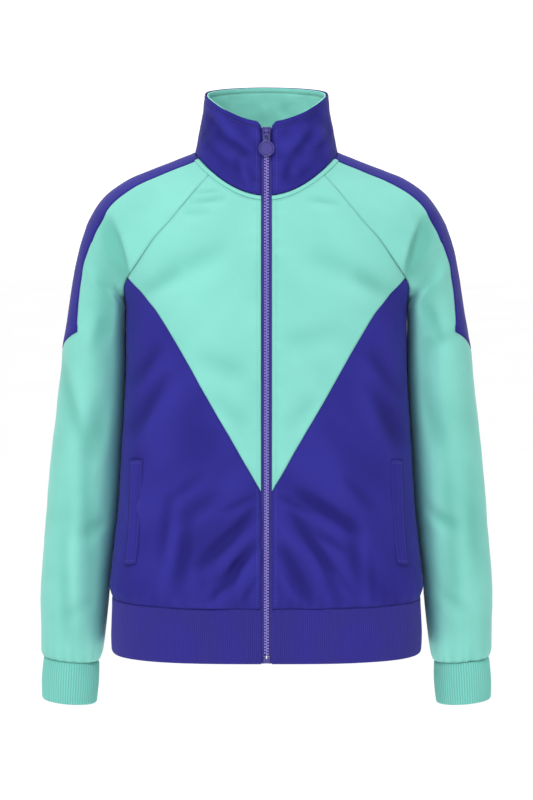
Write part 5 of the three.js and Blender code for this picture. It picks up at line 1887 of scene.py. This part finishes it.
    def slider(self) -> None:
        """Builds the slider: two plates round the chain, a nose and the lugs that hold the bar."""
        mesh = bmesh.new()
        skin = self.skin_y(0, 35)
        pivot_y = self.skin_y(0, self.pivot_z) - self.stand_off
        self.block(mesh, (9.2, 1.9, 12), (0, skin - 2.0, 35), 0.83, 0.8)
        self.block(mesh, (8.6, 1.2, 11), (0, skin + 0.65, 35), 0.83, 0.5)
        self.block(mesh, (3.0, 3.2, 3.6), (0, skin - 0.7, 38.6), 0.5, 0.5)
        for side in (-1, 1):
            self.block(mesh, (1.2, 3.6, 2.8), (side * 3.5, pivot_y + 0.9, self.pivot_z), 1, 0.35)
        bar = bmesh.ops.create_cone(mesh, cap_ends=True, segments=16, radius1=0.8, radius2=0.8,
                                    depth=6.8)
        turn = Matrix.Translation((0, pivot_y, self.pivot_z)) @ Matrix.Rotation(math.pi / 2, 4, "Y")
        bmesh.ops.transform(mesh, matrix=turn, verts=bar["verts"])
        self.metal_piece("zip_slider_body", mesh, "jacket", "zip_slider")

    def metal_piece(self, name: str, mesh: bmesh.types.BMesh, body: str, node: str) -> None:
        """Makes a piece of metal whose flat faces stay flat beside rounded edges.

        Args:
            name: the piece's name.
            mesh: its mesh.
            body: the body that it moves with.
            node: the node that it replaces.
        """
        piece = finished(name, mesh, self.wardrobe["metal"], body, [node])
        guard = piece.modifiers.new("flat_faces", "WEIGHTED_NORMAL")
        guard.keep_sharp = True

    def pull(self) -> None:
        """Builds the pull: an eye on the bar, a slotted link and a round disc with a raised rim."""
        mesh = bmesh.new()
        corners = ((-1.5, 1.1), (1.5, 1.1), (1.5, 1.95), (-1.5, 1.95))
        eye = [mesh.verts.new((x, 0, r)) for x, r in corners]
        loop = [mesh.edges.new((eye[k], eye[(k + 1) % 4])) for k in range(4)]
        bmesh.ops.spin(mesh, geom=[*eye, *loop], axis=(1, 0, 0), cent=(0, 0, 0), angle=math.tau,
                       steps=24, use_merge=True)
        self.block(mesh, (3, 1.4, 2.6), (0, 0, -2.6), 1, 0.35)
        for x in (-3.05, 3.05):
            self.block(mesh, (1.9, 1.5, 8.4), (x, 0, -7.6), 1, 0.5)
        self.block(mesh, (7.6, 1.5, 2.0), (0, 0, -4.3), 1, 0.5)
        self.block(mesh, (7.6, 1.5, 3.0), (0, 0, -10.6), 1, 0.5)
        profile = ((0.0, 0.8), (8.4, 0.8), (8.8, 0.62), (9.0, 0.2), (9.0, -0.8), (8.75, -1.15),
                   (8.2, -1.2), (7.75, -1.05), (7.45, -0.1), (7.0, -0.05), (6.6, -0.5),
                   (6.3, -0.6), (0.0, -0.6))
        verts = [mesh.verts.new((r, y, -20)) for r, y in profile]
        edges = [mesh.edges.new((a, b)) for a, b in zip(verts, verts[1:])]
        bmesh.ops.spin(mesh, geom=[*verts, *edges], axis=(0, 1, 0), cent=(0, 0, -20),
                       angle=math.tau, steps=64, use_merge=True)
        bmesh.ops.remove_doubles(mesh, verts=mesh.verts, dist=0.0005)
        bmesh.ops.recalc_face_normals(mesh, faces=mesh.faces)
        pivot_y = self.skin_y(0, self.pivot_z) - self.stand_off
        lean = Matrix.Rotation(math.radians(-2), 4, "X")
        hang = Matrix.Translation((0, pivot_y, self.pivot_z)) @ lean
        bmesh.ops.transform(mesh, matrix=hang, verts=mesh.verts)
        self.metal_piece("zip_pull_tab", mesh, "pull", "zip_pull")

    def foot(self) -> None:
        """Builds the box and the pin at the zip's foot."""
        mesh = bmesh.new()
        y = self.skin_y(0, -569)
        self.block(mesh, (7.2, 2.3, 5.4), (0, y + 0.3, -570.2), 1, 0.5)
        self.block(mesh, (2.6, 2.2, 3.4), (-1.9, y + 0.4, -566.4), 1, 0.4)
        self.block(mesh, (2.4, 2.0, 3.0), (1.9, y + 0.5, -566.3), 1, 0.4)
        self.metal_piece("zip_foot_box", mesh, "jacket", "zip_stop")

    def build(self) -> None:
        """Builds all the zip's parts."""
        self.tapes()
        self.teeth()
        self.slider()
        self.pull()
        self.foot()


Row = tuple[Path, BVHTree]


@dataclass
class Sewing:
    """Rows of stitches that lie on the finished cloth."""

    wardrobe: Wardrobe
    pitch: float = 2.7
    length: float = 2.1
    width: float = 0.46
    proud: float = 0.08
    behind: BVHTree | None = None

    def row(self, mesh: bmesh.types.BMesh, block: bpy.types.Mesh, line: Path,
            skin: BVHTree) -> None:
        """Sews one line of stitches.

        Args:
            mesh: the mesh that they are added to.
            block: one stitch.
            line: the line in mm.
            skin: the cloth that it is sewn on, in mm.
        """
        count = max(int(line.length / self.pitch), 1)
        for k in range(count):
            first, second = (line.read((k + s) / count) for s in (0.1, 0.9))
            spot, normal, _, _ = skin.find_nearest((first + second) / 2)
            if spot is None:
                continue
            run = (second - first).normalized()
            run = (run - normal * run.dot(normal)).normalized()
            beside = normal.cross(run)
            turn = Matrix((run, beside, normal)).transposed().to_4x4()
            rise = -WALL - self.proud if skin is self.behind else self.proud
            add_copy(mesh, block, Matrix.Translation(spot + normal * rise) @ turn)

    def stitch(self) -> bpy.types.Mesh:
        """One stitch: a small pointed bead of thread."""
        mesh = bmesh.new()
        bmesh.ops.create_uvsphere(mesh, u_segments=6, v_segments=4, radius=0.5,
                                  matrix=Matrix.Rotation(math.pi / 2, 4, "Y"))
        bmesh.ops.scale(mesh, vec=(self.length, self.width, self.width * 0.8), verts=mesh.verts)
        return stored("stitch", mesh)

    def sew(self, name: str, thread: str, rows: Sequence[Row]) -> None:
        """Makes one piece of several rows.

        Args:
            name: the piece's name.
            thread: short name of the thread.
            rows: each line with the cloth that it is on.
        """
        mesh = bmesh.new()
        block = self.stitch()
        for line, skin in rows:
            self.row(mesh, block, line, skin)
        bpy.data.meshes.remove(block)
        finished(name, mesh, self.wardrobe[thread], "jacket")

    def build(self, fronts: Fronts, collar: Collar, welts: PocketWelts) -> None:
        """Sews the rows that the jacket shows.

        Args:
            fronts: the front panels.
            collar: the collar.
            welts: the pocket welts.
        """
        self.behind = collar.inner_skin
        mint: list[Row] = []
        purple: list[Row] = []
        outer = collar.layer(0, ZIP_HALF, 0)
        yoke = Fronts.yoke_patch()
        stations = welts.stations()
        beside_zip = ZIP_HALF + 4.6
        for place in Place:
            side = place.value

            def down(x: float, high: float, low: float, side: int = side) -> Path:
                """A line beside the zip."""
                heights = [mix(high, low, k / 60) for k in range(61)]
                return Path([mirrored(FORM.point(FORM.turn_at(x, z), z), side) for z in heights])

            upper = fronts.skins[f"front_yoke_{place.word}"]
            lower = fronts.skins[f"front_lower_{place.word}"]
            mint.append((down(beside_zip, -44, -363), upper))
            purple.append((down(beside_zip, -368, -506), lower))
            under = [FORM.point(*yoke(k / 50, 1.0)) for k in range(51)]
            normals = [FORM.point(*yoke(k / 50, 0.97)) for k in range(51)]
            line = [mirrored(a + (b - a).normalized() * 7.6, side) for a, b in zip(under, normals)]
            mint.append((Path(line), upper))
            ends = 0.012 if side > 0 else 0.988
            upright = Path([outer(ends, 0.06 + 0.86 * k / 20) for k in range(21)])
            purple.append((upright, collar.skin))
            skin = welts.skins[f"pocket_welt_{place.word}"]
            rect = [
                [(0.14, 0.03 + 0.94 * k / 30) for k in range(31)],
                [(0.8, 0.03 + 0.94 * k / 30) for k in range(31)],
            ]
            for v in (0.025, 0.04, 0.96, 0.975):
                rect.append([(0.1 + 0.8 * k / 6, v) for k in range(7)])
            for shares in rect:
                points = [mirrored(FORM.point(*stations(u, v)), side) for u, v in shares]
                purple.append((Path(points), skin))
        around = Path([outer(0.012 + 0.976 * k / 160, 0.915) for k in range(161)])
        purple.append((around, collar.skin))
        inner = collar.layer(WALL + collar.apart + WALL, collar.inner_edge, collar.lower)
        inside = Path([inner(0.01 + 0.98 * k / 170, 0.915) for k in range(171)])
        mint.append((inside, collar.inner_skin))
        self.sew("mint_stitches", "mint_thread", mint)
        self.sew("purple_stitches", "purple_thread", purple)


@dataclass
class Studio:
    """Camera, floor and soft light."""

    camera_at: tuple[float, float, float] = (0.0, -4.5, 0.224)
    looks_at: tuple[float, float, float] = (0.0, 0.0, -0.281)
    lit: tuple[float, float, float] = (0.0, 0.0, -0.3)
    lens: float = 174.16
    floor_z: float = -1.35
    around: float = 0.3
    behind: float = 0.9
    above: float = 0.85
    side_loss: float = 0.12
    # name, place, width in metres and watts of each soft box
    lights: tuple[tuple, ...] = (
        ("key", (-0.9, -2.1, 2.2), 0.6, 44), ("front_left", (-2.4, -3.2, -0.1), 1.5, 15),
        ("front_right", (2.6, -3.0, 0.0), 1.5, 14),
    )

    @staticmethod
    def aimed(name: str, data: bpy.types.ID, at: Sequence[float],
              goal: Sequence[float]) -> bpy.types.Object:
        """Puts a camera or a light at one place and turns it to another."""
        thing = shown(name, data)
        thing.location = at
        thing.rotation_euler = (Vector(goal) - Vector(at)).to_track_quat("-Z", "Y").to_euler()
        return thing

    def camera(self) -> None:
        """Puts the camera at the photograph's angle."""
        data = bpy.data.cameras.new("camera")
        data.lens = self.lens
        bpy.context.scene.camera = self.aimed("camera", data, self.camera_at, self.looks_at)

    def floor(self) -> None:
        """Lays the pale floor."""
        mesh = bmesh.new()
        bmesh.ops.create_grid(mesh, x_segments=1, y_segments=1, size=15)
        bmesh.ops.translate(mesh, vec=(0, 0, self.floor_z), verts=mesh.verts)
        data = stored("floor", mesh)
        material, bench = blank_material("studio_floor")
        cloudy = bench.noise(bench.where("Object"), 3.0, 2.0)
        surfaced(bench, {
            "Base Color": bench.blend(cloudy, (0.93, 0.93, 0.93, 1), (0.96, 0.96, 0.96, 1)),
            "Roughness": 0.9,
            "Specular IOR Level": 0.1,
        })
        data.materials.append(material)
        shown("floor", data)

    def light(self, name: str, at: tuple[float, float, float], size: float, power: float) -> None:
        """Hangs one soft box that faces the jacket."""
        data = bpy.data.lights.new(name, "AREA")
        data.size = size
        data.energy = power
        self.aimed(name, data, at, self.lit)

    def world(self) -> None:
        """Makes the surroundings: white behind and above, dimmer in front and at the sides."""
        world = bpy.data.worlds.new("studio")
        world.use_nodes = True
        world.node_tree.nodes.clear()
        bench = Bench(world.node_tree)
        across, deep, high = bench.parts(bench.where("Generated"))
        behind, above = bench.ramp(deep, 0.2, 0.8), bench.ramp(high, 0.1, 0.9)
        sides = self.around - across.size() * self.side_loss
        strength = behind * self.behind + above * self.above + sides
        shade = bench.add("ShaderNodeBackground", {}, {"Color": (1, 1, 1, 1), "Strength": strength})
        bench.add("ShaderNodeOutputWorld", {}, {"Surface": shade})
        bpy.context.scene.world = world

    def build(self) -> None:
        """Sets the whole stage."""
        self.camera()
        self.floor()
        self.world()
        for row in self.lights:
            self.light(*row)
        settings = bpy.context.scene.view_settings
        settings.view_transform = "Standard"
        settings.look = "None"


def main() -> None:
    """Builds the studio and the jacket, piece by piece."""
    logging.basicConfig(level=logging.INFO, format="%(message)s")
    Studio().build()
    wardrobe = Wardrobe()
    fronts = Fronts(wardrobe)
    fronts.build()
    Back(wardrobe).build()
    sleeves = Sleeves(wardrobe)
    sleeves.build()
    collar = Collar(wardrobe)
    collar.build()
    NeckBands(wardrobe, sleeves).build()
    welts = PocketWelts(wardrobe)
    welts.build()
    HemBand(wardrobe).build()
    Cuffs(wardrobe, sleeves).build()
    Zip(wardrobe, collar).build()
    Sewing(wardrobe).build(fronts, collar, welts)


if __name__ == "__main__":
    main()
